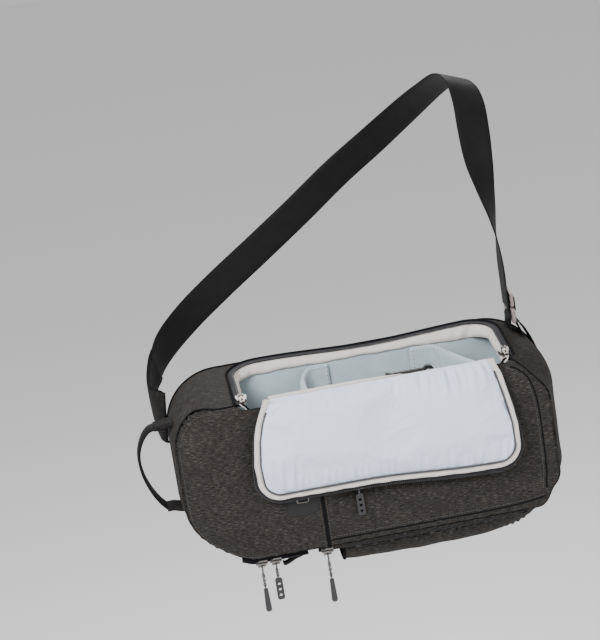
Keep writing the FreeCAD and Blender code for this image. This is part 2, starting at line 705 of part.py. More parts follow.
def hardware_parts():
    """The metal ring at the end of the strap, its keeper, the slide adjuster and the gusset."""
    wire = 2 * RING_WIRE
    outer = WEB_HALF + 1.2 + wire
    ring = ring_ends(outer, RING_LOW - RING_WIRE, RING_HIGH + RING_WIRE, RING_WIRE, 3.0)
    gap = WEB_HALF + 1.2
    ring = ring.cut(
        box(0, 400, STRAP_Y - gap, STRAP_Y + gap, RING_LOW + RING_WIRE, RING_HIGH - RING_WIRE)
    )
    ring = ring.makeFillet(1.2, [e for e in ring.Edges if e.Length > 3.0 and is_rim(e)])
    glide_half = 1.5
    glide = ring_ends(outer, GLIDE_MID - 8.0, GLIDE_MID + 8.0, glide_half, 2.5)
    for low, high in ((-5.9, -1.8), (1.8, 5.6)):
        slot = box(0, 400, STRAP_Y - gap, STRAP_Y + gap, GLIDE_MID + low, GLIDE_MID + high)
        glide = glide.cut(slot)
    return {
        "strap_ring": ring,
        "strap_adjuster": glide,
        "ring_keeper": ring_keeper(),
        "anchor_gusset": anchor_gusset(),
    }


def is_rim(edge):
    """True for the edges on the two broad faces of the ring."""
    xs = {round(v.X, 4) for v in edge.Vertexes}
    return xs == {round(RING_X - RING_WIRE, 4)} or xs == {round(RING_X + RING_WIRE, 4)}


def stadium(points_to, inner, outer, centre):
    """A half ring of webbing round a bar, opened upwards or downwards."""
    sign = 1 if points_to == "up" else -1
    c = centre
    ring = Part.Face(
        Part.Wire(
            [
                arc(
                    V(c.x - outer, 0, c.z),
                    V(c.x, 0, c.z + sign * outer),
                    V(c.x + outer, 0, c.z),
                ),
                Part.makeLine(V(c.x + outer, 0, c.z), V(c.x + inner, 0, c.z)),
                arc(
                    V(c.x + inner, 0, c.z),
                    V(c.x, 0, c.z + sign * inner),
                    V(c.x - inner, 0, c.z),
                ),
                Part.makeLine(V(c.x - inner, 0, c.z), V(c.x - outer, 0, c.z)),
            ]
        )
    )
    ring.translate(V(0, STRAP_Y - WEB_HALF, 0))
    return ring.extrude(V(0, 2 * WEB_HALF, 0))


def ring_keeper():
    """Webbing round the lower bar of the ring, sewn down on the bag's shoulder."""
    top = stadium("up", WRAP_IN, WRAP_OUT, V(RING_X, 0, RING_LOW))
    y0, y1 = STRAP_Y - WEB_HALF, STRAP_Y + WEB_HALF
    y1 = min(y1, GUSSET_BACK - 2.0)
    tail = box(RING_X - WRAP_OUT, RING_X + WRAP_OUT, y0, y1, 60, RING_LOW)
    tail = tail.cut(box(RING_X - WRAP_IN, RING_X + WRAP_IN, 0, 100, 0, RING_LOW + 1))
    tail = tail.cut(plate(0, -200, 200))
    return top.fuse(tail).removeSplitter()


def anchor_gusset():
    """A triangle of cloth that spreads the pull of the strap into the back seam."""
    points = [V(172, 0, 84), V(178, 0, 96), V(192, 0, 99), V(205, 0, 80), V(218, 0, 34), V(200, 0, 40)]
    face = Part.Face(Part.makePolygon(points + points[:1]))
    face.translate(V(0, GUSSET_BACK, 0))
    solid = face.extrude(V(0, 2.4, 0))
    return solid.cut(plate(3.0, 0, 200))


def strap_loop():
    """The end of the strap: down past the adjuster and round the upper bar of the ring."""
    y0, y1 = STRAP_Y - WEB_HALF, STRAP_Y + WEB_HALF
    wrap = stadium("down", WRAP_IN, WRAP_OUT, V(RING_X, 0, RING_HIGH))
    near = box(RING_X - WRAP_OUT, RING_X - WRAP_IN, y0, y1, RING_HIGH, STRAP_START)
    far = box(RING_X + WRAP_IN, RING_X + WRAP_OUT, y0, y1, RING_HIGH, GLIDE_MID - STRAP_PLAY)
    return wrap.fuse(near).fuse(far).removeSplitter()


def strap_end():
    """The end of the strap, sewn round the middle bar of the adjuster."""
    turn = stadium("up", WRAP_IN, WRAP_OUT, V(RING_X, 0, GLIDE_MID))
    return turn.cut(box(0, RING_X - 1.0, 0, 100, 0, 300))


def blend_route(route, steps):
    """Evenly spaced places between the hand-set ones, on a Catmull-Rom curve."""
    rows = [tuple(p) + tuple(w) for p, w in route]
    rows = [rows[0]] + rows + [rows[-1]]
    out = []
    for i in range(1, len(rows) - 2):
        last = i == len(rows) - 3
        for k in range(steps + (1 if last else 0)):
            t = k / steps
            out.append([spline_value(rows, i, c, t) for c in range(6)])
    return out


def spline_value(rows, i, c, t):
    """One coordinate of a Catmull-Rom curve between row i and the next."""
    p0, p1, p2, p3 = (rows[j][c] for j in range(i - 1, i + 3))
    slope = (p2 - p0) * t + (2 * p0 - 5 * p1 + 4 * p2 - p3) * t**2
    return p1 + 0.5 * (slope + (3 * p1 - p0 - 3 * p2 + p3) * t**3)


def band_section(place, across, along, half, thick):
    """A rectangle of webbing: wide along across, thin along the band's own normal."""
    along = along.normalize()
    across = (across - along * across.dot(along)).normalize()
    normal = along.cross(across).normalize()
    a, n = across * half, normal * (thick / 2)
    corners = [place - a - n, place + a - n, place + a + n, place - a + n]
    return Part.makePolygon(corners + corners[:1])


def shoulder_strap():
    """The long run of webbing over the shoulder and round the back, with its end loop."""
    rows = blend_route(STRAP_ROUTE, STRAP_STEPS)
    places = [V(*r[:3]) for r in rows]
    sections = []
    for i, row in enumerate(rows):
        along = places[min(i + 1, len(rows) - 1)] - places[max(i - 1, 0)]
        if i == 0:
            along = Z_AXIS
        sections.append(band_section(places[i], V(*row[3:]), V(along), WEB_HALF, WEB))
    run = Part.makeLoft(sections, True, True)
    return run, strap_loop()


def strap_yoke():
    """The padded end of the strap where it widens into the crown of the bag."""
    sections = []
    places = [V(*p) for p, _, _ in YOKE_ROUTE]
    for i, (_, across, half) in enumerate(YOKE_ROUTE):
        along = places[min(i + 1, len(places) - 1)] - places[max(i - 1, 0)]
        sections.append(band_section(places[i], V(*across), along, half, YOKE_THICK))
    return Part.makeLoft(sections, True, True)


def strap_parts():
    """Strap, its sewn end and the padded yoke."""
    run, loop = shoulder_strap()
    return {
        "shoulder_strap": group(run, loop),
        "strap_end": strap_end(),
        "strap_yoke": strap_yoke(),
    }


# ---------------------------------------------------------------- export
def build():
    """Makes every sub-part as a dictionary of name to shape."""
    parts = {}
    for maker in (
        shell_parts,
        rim_parts,
        flap_parts,
        hatch_slider_parts,
        front_zip_parts,
        belly_zip_parts,
        trim_parts,
        inside_parts,
        handle_parts,
        hardware_parts,
        strap_parts,
    ):
        parts.update(maker())
    return parts


def main():
    """Builds, moves the origin to the shoulder and writes one STEP per sub-part."""
    os.makedirs("parts", exist_ok=True)
    for name, shape in build().items():
        shape.translate(V(0, 0, 0) - SHOULDER)
        solids = shape.Solids
        if not solids or not all(s.isValid() and s.isClosed() for s in solids):
            print("CHECK", name, len(solids), shape.isValid())
        out = solids[0] if len(solids) == 1 else Part.makeCompound(solids)
        out.exportStep(f"parts/{name}.step")
    print("parts written:", len(os.listdir("parts")))


main()
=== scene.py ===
"""Dresses the sling camera bag in cloth, webbing, zips and metal.

Lengths in this file are millimetres about the middle of the bag, the way a maker would
measure it: X from the crown end (grab handle) to the base end, Y from the front panel back
to the wearer, Z up out of the hatch. The bench turns them into metres in the part's frame.
"""

import logging
import math
from dataclasses import dataclass, field
from enum import Enum
from typing import Any, Optional, Sequence, Union

import bpy
import numpy as np
from mathutils import Matrix, Vector


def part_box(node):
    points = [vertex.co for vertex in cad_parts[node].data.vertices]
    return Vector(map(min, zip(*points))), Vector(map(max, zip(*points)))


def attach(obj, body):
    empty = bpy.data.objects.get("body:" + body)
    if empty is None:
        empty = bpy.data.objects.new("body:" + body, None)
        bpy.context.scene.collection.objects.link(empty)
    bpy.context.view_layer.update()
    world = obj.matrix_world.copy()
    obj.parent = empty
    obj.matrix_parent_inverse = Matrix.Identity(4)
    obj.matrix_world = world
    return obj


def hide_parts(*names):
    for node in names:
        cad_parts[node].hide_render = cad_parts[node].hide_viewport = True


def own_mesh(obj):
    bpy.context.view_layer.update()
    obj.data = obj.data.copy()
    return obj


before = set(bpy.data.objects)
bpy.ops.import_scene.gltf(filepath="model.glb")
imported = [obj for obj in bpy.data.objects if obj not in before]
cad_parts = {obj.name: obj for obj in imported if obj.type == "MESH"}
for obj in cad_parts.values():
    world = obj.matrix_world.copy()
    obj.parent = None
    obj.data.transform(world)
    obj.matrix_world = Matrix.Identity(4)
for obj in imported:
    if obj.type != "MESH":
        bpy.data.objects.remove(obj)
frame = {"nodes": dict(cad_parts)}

LOG = logging.getLogger("sling_bag")
Array = np.ndarray
MM = 0.001
SEED = 11
CHUNK = 4000  # places measured to an outline at one time
X_AXIS, Y_AXIS, Z_AXIS = np.eye(3)
STITCH = (2.2, 0.5, 0.35)  # along the seam, across it and standing out
STITCH_PITCH = 3.2
BELLY_Y = -48.0  # depth of the zips under the bag
STASH_Z = -20.0  # level of the front pocket's zip
HANDLE_Y = 10.0  # depth of the grab handle's middle


# ---------- curves and blends
def ease(x: Array) -> Array:
    """Smooth step: 3x^2 - 2x^3 with x held between 0 and 1."""
    x = np.clip(x, 0.0, 1.0)
    return x * x * (3.0 - 2.0 * x)


def bump(x: Array, middle: float, half: float) -> Array:
    """A smooth hill of height 1 at middle that reaches 0 at half on each side."""
    return ease(1.0 - np.abs(x - middle) / half)


def waves(x: Array, lengths: Sequence[float], seed: int) -> Array:
    """A sum of sines of the given wavelengths with seeded phases, within about -1 to 1.

    Args:
        x: places.
        lengths: wavelengths.
        seed: its own seed.

    Returns:
        Heights at x.
    """
    rng = np.random.default_rng(SEED + seed)
    total = np.zeros_like(x, dtype=float)
    for length in lengths:
        total += np.sin(2 * np.pi * x / length + rng.uniform(0, 2 * np.pi))
    return total / len(lengths)


def spread(points: Array, count: int) -> Array:
    """Points at even distances along the broken line through the given ones.

    Args:
        points: places (n, k) on the line.
        count: how many to return.

    Returns:
        Array (count, k), with both ends kept.
    """
    steps = np.linalg.norm(np.diff(points, axis=0), axis=1)
    far = np.concatenate([[0.0], np.cumsum(steps)])
    at = np.linspace(0.0, far[-1], count)
    return np.stack([np.interp(at, far, points[:, c]) for c in range(points.shape[1])], axis=1)


def flowing(points: Sequence[Sequence[float]], count: int) -> Array:
    """A Catmull-Rom curve through given places, evenly spread.

    Between rows 1 and 2 of four neighbours it is p1 + ((p2-p0)t + (2p0-5p1+4p2-p3)t^2
    + (3p1-p0-3p2+p3)t^3) / 2.

    Args:
        points: the places.
        count: how many to return.

    Returns:
        The curve, one row for each place.
    """
    p = np.asarray(points, float)
    p = np.vstack([2 * p[0] - p[1], p, 2 * p[-1] - p[-2]])
    t = np.linspace(0, 1, 16, endpoint=False)[None, :, None]
    p0, p1, p2, p3 = (p[i : len(p) - 3 + i, None, :] for i in range(4))
    curve = p1 + 0.5 * (
        (p2 - p0) * t + (2 * p0 - 5 * p1 + 4 * p2 - p3) * t**2 + (3 * p1 - p0 - 3 * p2 + p3) * t**3
    )
    dense = np.vstack([curve.reshape(-1, p.shape[1]), p[-2:-1]])
    return spread(dense, count)


def at_depth(xz: Array, y: float) -> Array:
    """Places (n, 3) of a line in X and Z, all at one depth."""
    return np.stack([xz[:, 0], y + 0 * xz[:, 0], xz[:, 1]], 1)


def halves(loop: Array, level: float = 0.0, low: float = 0.0) -> tuple[Array, Array]:
    """A closed outline split at its two ends.

    Args:
        loop: places (n, 2 or 3), X first and Z last, clockwise.
        level: how strongly the ends are drawn to Z = 0 and to Z = -low.
        low: how far below 0 the second end is drawn.

    Returns:
        The upper line and the lower one, both from the least X to the greatest.
    """
    start = int(np.argmin(loop[:, 0] + np.abs(loop[:, -1]) * level))
    loop = np.roll(loop, -start, axis=0)
    end = int(np.argmax(loop[:, 0] - np.abs(loop[:, -1] + low) * level))
    return loop[: end + 1], np.vstack([loop[end:], loop[:1]])[::-1]


def joined(lower: Array, upper: Array, v: Array) -> Array:
    """Straight rows from one line to another: lower (1 - v) + upper v."""
    return lower[:, None] * (1 - v)[None, :, None] + upper[:, None] * v[None, :, None]


def unit(v: Array) -> Array:
    """Rows scaled to length 1."""
    return v / np.maximum(np.linalg.norm(v, axis=-1, keepdims=True), 1e-12)


def tangents(path: Array, closed: bool = False) -> Array:
    """Directions along a path, by central differences."""
    if closed:
        return unit(np.roll(path, -1, axis=0) - np.roll(path, 1, axis=0))
    return unit(np.gradient(path, axis=0))


# ---------- surfaces
@dataclass
class Surface:
    """A grid of points (rows, columns, 3) with a texture map in millimetres."""

    points: Array
    uv: Optional[Array] = None
    closed_rows: bool = False
    closed_columns: bool = False

    def flipped(self) -> "Surface":
        """The same surface facing the other way."""
        uv = None if self.uv is None else self.uv[::-1]
        return Surface(self.points[::-1], uv, self.closed_rows, self.closed_columns)

    def capped(self) -> "Surface":
        """The same tube with its ends drawn shut, each to one place.

        Returns:
            The shut tube.
        """
        ends = [self.points[i].mean(axis=0, keepdims=True) + 0 * self.points[i] for i in (0, -1)]
        points = np.concatenate([ends[0][None], self.points, ends[1][None]])
        return Surface(points, None, self.closed_rows, self.closed_columns)

    def faces(self, first: int) -> Array:
        """Quads of the grid, its vertices counted from first.

        Args:
            first: number of the grid's first vertex.

        Returns:
            Four vertex numbers for each face.
        """
        rows, columns = self.points.shape[:2]
        i = np.arange(rows if self.closed_rows else rows - 1)
        j = np.arange(columns if self.closed_columns else columns - 1)
        i, j = (a.ravel() for a in np.meshgrid(i, j, indexing="ij"))
        i1, j1 = (i + 1) % rows, (j + 1) % columns
        return first + np.stack([i * columns + j, i1 * columns + j, i1 * columns + j1, i * columns + j1], 1)

    def map_mm(self) -> Array:
        """Texture places: the given map, or distances along rows and columns.

        Returns:
            Texture places for each vertex.
        """
        if self.uv is not None:
            return self.uv
        du = np.linalg.norm(np.diff(self.points, axis=0), axis=2).mean(axis=1)
        dv = np.linalg.norm(np.diff(self.points, axis=1), axis=2).mean(axis=0)
        u = np.concatenate([[0], np.cumsum(du)])
        v = np.concatenate([[0], np.cumsum(dv)])
        return np.stack(np.meshgrid(u, v, indexing="ij"), axis=2)


def band(path: Array, across: Array, width: float, thick: float, crown: float = 0.0) -> Surface:
    """A strip of webbing: a flat lens-ended profile carried along a path.

    Args:
        path: middle line (n, 3).
        across: direction of the width (n, 3) or (3,).
        width: full width, or one for each place.
        thick: full thickness.
        crown: how far the middle stands proud of the edges.

    Returns:
        A tube-like surface closed round its profile.
    """
    along = tangents(path)
    side = np.broadcast_to(np.asarray(across, float), path.shape)
    side = unit(side - along * np.sum(side * along, axis=1, keepdims=True))
    face = unit(np.cross(side, along))
    half = np.broadcast_to(np.asarray(width, float) / 2, (len(path),))[:, None, None]
    a = np.array([-1, -0.97, -0.6, 0, 0.6, 0.97, 1, 1, 0.97, 0.6, 0, -0.6, -0.97, -1])
    b = np.array([0.35, 0.9, 1, 1, 1, 0.9, 0.35, -0.35, -0.9, -1, -1, -1, -0.9, -0.35])
    lift = b * thick / 2 + crown * (1 - a * a)
    ring = path[:, None] + side[:, None] * (a[None, :, None] * half) + face[:, None] * lift[None, :, None]
    return Surface(ring, closed_columns=True).capped()


def tube(
    path: Array, radius: Any, sides: int = 8, up: Sequence[float] = (0, 0, 1), closed: bool = False
) -> Surface:
    """A round profile carried along a path.

    Args:
        path: middle line (n, 3).
        radius: one number, or one for each place.
        sides: how many corners the round has.
        up: a direction never along the path.
        closed: whether the path joins its own start.

    Returns:
        The tube.
    """
    along = tangents(path, closed)
    x = unit(np.cross(along, np.broadcast_to(np.asarray(up, float), path.shape)))
    y = np.cross(along, x)
    turn = np.linspace(0, 2 * np.pi, sides, endpoint=False)
    r = np.broadcast_to(np.asarray(radius, float), (len(path),))[:, None, None]
    cos, sin = np.cos(turn)[None, :, None], np.sin(turn)[None, :, None]
    ring = path[:, None] + r * (x[:, None] * cos + y[:, None] * sin)
    surface = Surface(ring[:, ::-1], closed_rows=closed, closed_columns=True)
    return surface if closed else surface.capped()


def swept(path: Array, x_axis: Array, y_axis: Array, profile: Array, closed: bool = False) -> Surface:
    """A closed profile (k, 2), or one for each place (n, k, 2), carried along a path on two given axes.

    Args:
        path: middle line.
        x_axis: the profile's first axis.
        y_axis: its second.
        profile: the shape.
        closed: whether the path joins its start.

    Returns:
        The swept surface.
    """
    profile = np.broadcast_to(profile, (len(path),) + profile.shape[-2:])
    x_axis = np.broadcast_to(x_axis, path.shape)
    y_axis = np.broadcast_to(y_axis, path.shape)
    ring = path[:, None] + profile[..., :1] * x_axis[:, None] + profile[..., 1:] * y_axis[:, None]
    surface = Surface(ring, closed_rows=closed, closed_columns=True)
    return surface if closed else surface.capped()


def oval(half_x: float, half_y: float, sides: int = 16, power: float = 2.6) -> Array:
    """A superellipse: |x/a|^p + |y/b|^p = 1, walked round once.

    Args:
        half_x: half its width.
        half_y: half its height.
        sides: corners.
        power: 2 is an ellipse, more is squarer.

    Returns:
        Places (sides, 2).
    """
    turn = np.linspace(0, 2 * np.pi, sides, endpoint=False)
    c, s = np.cos(turn), np.sin(turn)
    shape = np.stack([np.sign(c) * np.abs(c) ** (2 / power), np.sign(s) * np.abs(s) ** (2 / power)], 1)
    return shape * np.array([half_x, half_y])


# ---------- shader language
Number = Union[int, float]


class Mix:
    """A shader socket that takes part in Python sums."""

    def __init__(self, recipe: "Recipe", socket: Any) -> None:
        """Keeps the recipe that owns the socket."""
        self.recipe = recipe
        self.socket = socket

    def _math(self, operation: str, *values: Any) -> "Mix":
        """One Math node of an operation."""
        sockets = {i: v for i, v in enumerate(values)}
        return self.recipe.node("ShaderNodeMath", {"operation": operation}, sockets)["Value"]

    def __add__(self, other: Any) -> "Mix":
        """Sum."""
        return self._math("ADD", self, other)

    def __sub__(self, other: Any) -> "Mix":
        """Difference."""
        return self._math("SUBTRACT", self, other)

    def __rsub__(self, other: Any) -> "Mix":
        """Difference from a number."""
        return self._math("SUBTRACT", other, self)

    def __mul__(self, other: Any) -> "Mix":
        """Product."""
        return self._math("MULTIPLY", self, other)

    __radd__ = __add__
    __rmul__ = __mul__

    def power(self, exponent: Number) -> "Mix":
        """This value raised to a power."""
        return self._math("POWER", self, exponent)

    def highest(self, other: Any) -> "Mix":
        """The larger of two values."""
        return self._math("MAXIMUM", self, other)

    def between(self, low: Number, high: Number) -> "Mix":
        """0 below low, 1 above high and smooth between them.

        Args:
            low: where it is 0.
            high: where it is 1.

        Returns:
            The blend.
        """
        sockets = {"Value": self, "From Min": low, "From Max": high}
        settings = {"interpolation_type": "SMOOTHSTEP"}
        return self.recipe.node("ShaderNodeMapRange", settings, sockets)["Result"]


class Made:
    """A node whose outputs are read by name."""

    def __init__(self, recipe: "Recipe", node: Any) -> None:
        """Keeps the node."""
        self.recipe = recipe
        self.node = node

    def __getitem__(self, name: str) -> Mix:
        """An enabled output of that name."""
        found = [s for s in self.node.outputs if s.name == name and s.enabled]
        return Mix(self.recipe, found[0])


Colour = tuple[float, float, float]


class Recipe:
    """One material's node tree."""

    def __init__(self, name: str) -> None:
        """Starts an empty material."""
        self.material = bpy.data.materials.new(name)
        self.material.use_nodes = True
        self.tree = self.material.node_tree
        self.tree.nodes.clear()

    def node(self, kind: str, settings: dict[str, Any], sockets: dict[Any, Any]) -> Made:
        """Adds a node.

        Args:
            kind: the node's type.
            settings: its properties, set first. "stops" is a ramp's list of (place, colour).
            sockets: values or links by socket name or number.

        Returns:
            The node, with outputs by name.
        """
        made = self.tree.nodes.new(kind)
        for key, value in settings.items():
            if key == "stops":
                self._stops(made.color_ramp, value)
            else:
                setattr(made, key, value)
        for key, value in sockets.items():
            target = self._input(made, key)
            if isinstance(value, Mix):
                self.tree.links.new(value.socket, target)
            elif isinstance(value, (tuple, list)) and target.type == "RGBA":
                target.default_value = (*value, 1.0)[:4]
            else:
                target.default_value = value
        return Made(self, made)

    @staticmethod
    def _input(made: Any, key: Any) -> Any:
        """An enabled input by name, or by number."""
        if isinstance(key, int):
            return made.inputs[key]
        return [s for s in made.inputs if s.name == key and s.enabled][0]

    @staticmethod
    def _stops(ramp: Any, stops: Sequence[tuple[float, Colour]]) -> None:
        """Fills a colour ramp."""
        while len(ramp.elements) < len(stops):
            ramp.elements.new(0.5)
        for element, (place, colour) in zip(ramp.elements, stops):
            element.position = place
            element.color = (*colour, 1.0)

    def place(self, uv: bool, scale: Sequence[float], turn: float = 0.0) -> Mix:
        """Texture places in metres, times a scale for each axis.

        Args:
            uv: the piece's own map, or its Object coordinates.
            scale: repeats for each metre.
            turn: degrees about Z.

        Returns:
            The places as a vector.
        """
        source = self.node("ShaderNodeTexCoord", {}, {})["UV" if uv else "Object"]
        sockets = {"Vector": source, "Scale": tuple(scale), "Rotation": (0, 0, math.radians(turn))}
        return self.node("ShaderNodeMapping", {}, sockets)["Vector"]

    def noise(self, where: Mix, detail: float = 3.0, rough: float = 0.55) -> Mix:
        """Fractal noise of one repeat for each unit."""
        sockets = {"Vector": where, "Scale": 1.0, "Detail": detail, "Roughness": rough}
        return self.node("ShaderNodeTexNoise", {}, sockets)["Fac"]

    def ribs(self, where: Mix, axis: str, distortion: float = 0.0) -> Mix:
        """Sine bands along an axis, one for each unit.

        Args:
            where: places.
            axis: X, Y or Z.
            distortion: unevenness.

        Returns:
            Heights from 0 to 1.
        """
        settings = {"wave_type": "BANDS", "bands_direction": axis, "wave_profile": "SIN"}
        sockets = {"Vector": where, "Scale": 2 * math.pi / 20.0, "Distortion": distortion}
        return self.node("ShaderNodeTexWave", settings, sockets)["Fac"]

    def cells(self, where: Mix) -> Mix:
        """Distance to the middle of the nearest cell."""
        return self.node("ShaderNodeTexVoronoi", {}, {"Vector": where, "Scale": 1.0})["Distance"]

    def tint(self, factor: Any, a: Any, b: Any) -> Mix:
        """Colour a turning into colour b as factor goes from 0 to 1."""
        settings = {"data_type": "RGBA"}
        return self.node("ShaderNodeMix", settings, {"Factor": factor, "A": a, "B": b})["Result"]

    def relief(self, height: Mix, depth_mm: float, strength: float = 1.0) -> Mix:
        """A normal from heights of 0 to 1 over a depth in millimetres."""
        sockets = {"Height": height, "Distance": depth_mm * MM, "Strength": strength}
        return self.node("ShaderNodeBump", {}, sockets)["Normal"]

    def finish(self, sockets: dict[str, Any]) -> Any:
        """Ends the tree in a Principled shader and returns the material."""
        shader = self.node("ShaderNodeBsdfPrincipled", {}, sockets)["BSDF"]
        self.node("ShaderNodeOutputMaterial", {}, {"Surface": shader})
        return self.material


# ---------- finishes
@dataclass(frozen=True)
class HeatherCloth:
    """Space-dyed polyester: a dark ground with short pale and black yarns in one direction."""

    name: str = "heather_cloth"
    ground: Colour = (0.0175, 0.0148, 0.013)
    pale: Colour = (0.078, 0.069, 0.062)
    black: Colour = (0.005, 0.0045, 0.0045)
    yarn: float = 0.58  # millimetres across one yarn

    def material(self) -> Any:
        """Builds the material: long thin noise cells give the yarns, two fine sines the weave.

        Returns:
            The material.
        """
        r = Recipe(self.name)
        per = 1000.0 / self.yarn
        yarns = r.noise(r.place(True, (per * 0.09, per, per)), 2.0, 0.6)
        fine = r.noise(r.place(True, (per * 0.16, per * 1.8, per * 1.8)), 2.0, 0.6)
        cloud = r.noise(r.place(True, (22, 60, 60)), 3.0)
        fleck = (yarns * 0.65 + fine * 0.35 + (cloud - 0.5) * 0.12).between(0.5, 0.68)
        dark = (yarns * 0.5 + fine * 0.5).between(0.38, 0.5)
        base = r.tint(dark, self.black, self.ground)
        colour = r.tint(fleck, base, self.pale)
        warp = r.ribs(r.place(True, (1 / 0.9e-3,) * 3), "X")
        weft = r.ribs(r.place(True, (1 / 0.7e-3,) * 3), "Y")
        height = warp * weft * 0.45 + yarns * 0.55
        rough = 0.78 + fleck * 0.1
        return r.finish(
            {
                "Base Color": colour,
                "Roughness": rough,
                "Specular IOR Level": 0.12,
                "Normal": r.relief(height, 0.3, 0.7),
            }
        )


@dataclass(frozen=True)
class PlainCloth:
    """Close plain weave or brushed cloth of one colour, with a faint cloudiness."""

    name: str
    colour: Colour
    shade: Colour
    thread: float = 0.6
    roughness: float = 0.8
    sheen: float = 0.05
    nap: float = 0.0  # share of the relief that is brushed fibre
    depth: float = 0.2
    shine: float = 0.2

    def material(self) -> Any:
        """Builds the material: crossed sines for the weave, noise for the nap and the cloudiness.

        Returns:
            The material.
        """
        r = Recipe(self.name)
        per = (1000.0 / self.thread,) * 3
        weave = r.ribs(r.place(True, per), "X") * r.ribs(r.place(True, per), "Y")
        fibre = r.noise(r.place(True, (1700,) * 3), 3.0, 0.7)
        cloud = r.noise(r.place(True, (45,) * 3), 4.0)
        height = weave * (1 - self.nap) + fibre * self.nap
        mix = (cloud * 0.5 + height * 0.5).between(0.28, 0.72)
        return r.finish(
            {
                "Base Color": r.tint(mix, self.shade, self.colour),
                "Roughness": self.roughness - 0.08 + cloud * 0.16,
                "Specular IOR Level": self.shine,
                "Sheen Weight": self.sheen,
                "Sheen Roughness": 0.4,
                "Normal": r.relief(height, self.depth, 0.7),
            }
        )


@dataclass(frozen=True)
class RibbedTape:
    """Woven tape or webbing: ribs across its length, and a satin face."""

    name: str
    colour: Colour
    shade: Colour
    rib: float = 1.2
    roughness: float = 0.5
    depth: float = 0.25
    axis: str = "X"
    fuzz: float = 0.2
    shine: float = 0.3

    def material(self) -> Any:
        """Builds the material: sine ribs across the tape with fibre noise over them.

        Returns:
            The material.
        """
        r = Recipe(self.name)
        per = (1000.0 / self.rib,) * 3
        ribs = r.ribs(r.place(True, per), self.axis, 0.4)
        cross = r.ribs(r.place(True, (1000.0 / 0.8,) * 3), "Y" if self.axis == "X" else "X")
        fibre = r.noise(r.place(True, (1500,) * 3), 3.0, 0.7)
        cloud = r.noise(r.place(True, (60,) * 3), 3.0)
        height = ribs * 0.55 + cross * 0.2 + fibre * self.fuzz
        mix = (height * 0.6 + cloud * 0.4).between(0.2, 0.75)
        return r.finish(
            {
                "Base Color": r.tint(mix, self.shade, self.colour),
                "Roughness": self.roughness - 0.06 + fibre * 0.12,
                "Specular IOR Level": self.shine,
                "Normal": r.relief(height, self.depth, 0.6),
            }
        )


@dataclass(frozen=True)
class Moulded:
    """Moulded plastic or rubber with a fine grain and rubbed high spots."""

    name: str
    colour: Colour
    roughness: float = 0.45
    metallic: float = 0.0
    grain: float = 0.08
    wear: Colour = (0.2, 0.2, 0.2)

    def material(self) -> Any:
        """Builds the material: two noises, one for grain and one for handling marks.

        Returns:
            The material.
        """
        r = Recipe(self.name)
        grain = r.noise(r.place(False, (2600,) * 3), 2.0)
        marks = r.noise(r.place(False, (260, 260, 500)), 5.0, 0.65)
        worn = marks.between(0.62, 0.8)
        return r.finish(
            {
                "Base Color": r.tint(worn * 0.35, self.colour, self.wear),
                "Metallic": self.metallic,
                "Roughness": self.roughness - 0.07 + marks * 0.14 + worn * 0.08,
                "Normal": r.relief(grain, self.grain, 0.5),
            }
        )


@dataclass(frozen=True)
class SpacerMesh:
    """Knitted spacer mesh: dark holes in staggered rows over a grey-black knit."""

    name: str = "spacer_mesh"
    colour: Colour = (0.035, 0.035, 0.038)
    hole: Colour = (0.004, 0.004, 0.004)

    def material(self) -> Any:
        """Builds the material: two crossed sines turned 45 degrees make the grid of holes.

        Returns:
            The material.
        """
        r = Recipe(self.name)
        across = r.place(True, (1000 / 3.2,) * 3, 45.0)
        grid = r.ribs(across, "X") * r.ribs(across, "Y")
        holes = grid.between(0.42, 0.72)
        knit = r.noise(r.place(True, (1400,) * 3), 3.0)
        return r.finish(
            {
                "Base Color": r.tint(holes, self.colour, self.hole),
                "Roughness": 0.8 + knit * 0.1,
                "Sheen Weight": 0.15,
                "Normal": r.relief((1 - holes) + knit * 0.3, 0.5, 0.8),
            }
        )


@dataclass(frozen=True)
class BraidedCord:
    """Braided cord: a dark ground with pale flecks winding round it."""

    name: str = "braided_cord"
    colour: Colour = (0.018, 0.018, 0.02)
    fleck: Colour = (0.3, 0.3, 0.32)

    def material(self) -> Any:
        """Builds the material: two slanted sets of sines make the plait.

        Returns:
            The material.
        """
        r = Recipe(self.name)
        one = r.ribs(r.place(True, (620, 620, 620), 38.0), "X")
        two = r.ribs(r.place(True, (620, 620, 620), -38.0), "X")
        plait = one.highest(two)
        pale = (one * (1 - two)).between(0.45, 0.75)
        return r.finish(
            {
                "Base Color": r.tint(pale, self.colour, self.fleck),
                "Roughness": 0.6 + plait * 0.1,
                "Normal": r.relief(plait, 0.3, 0.9),
            }
        )


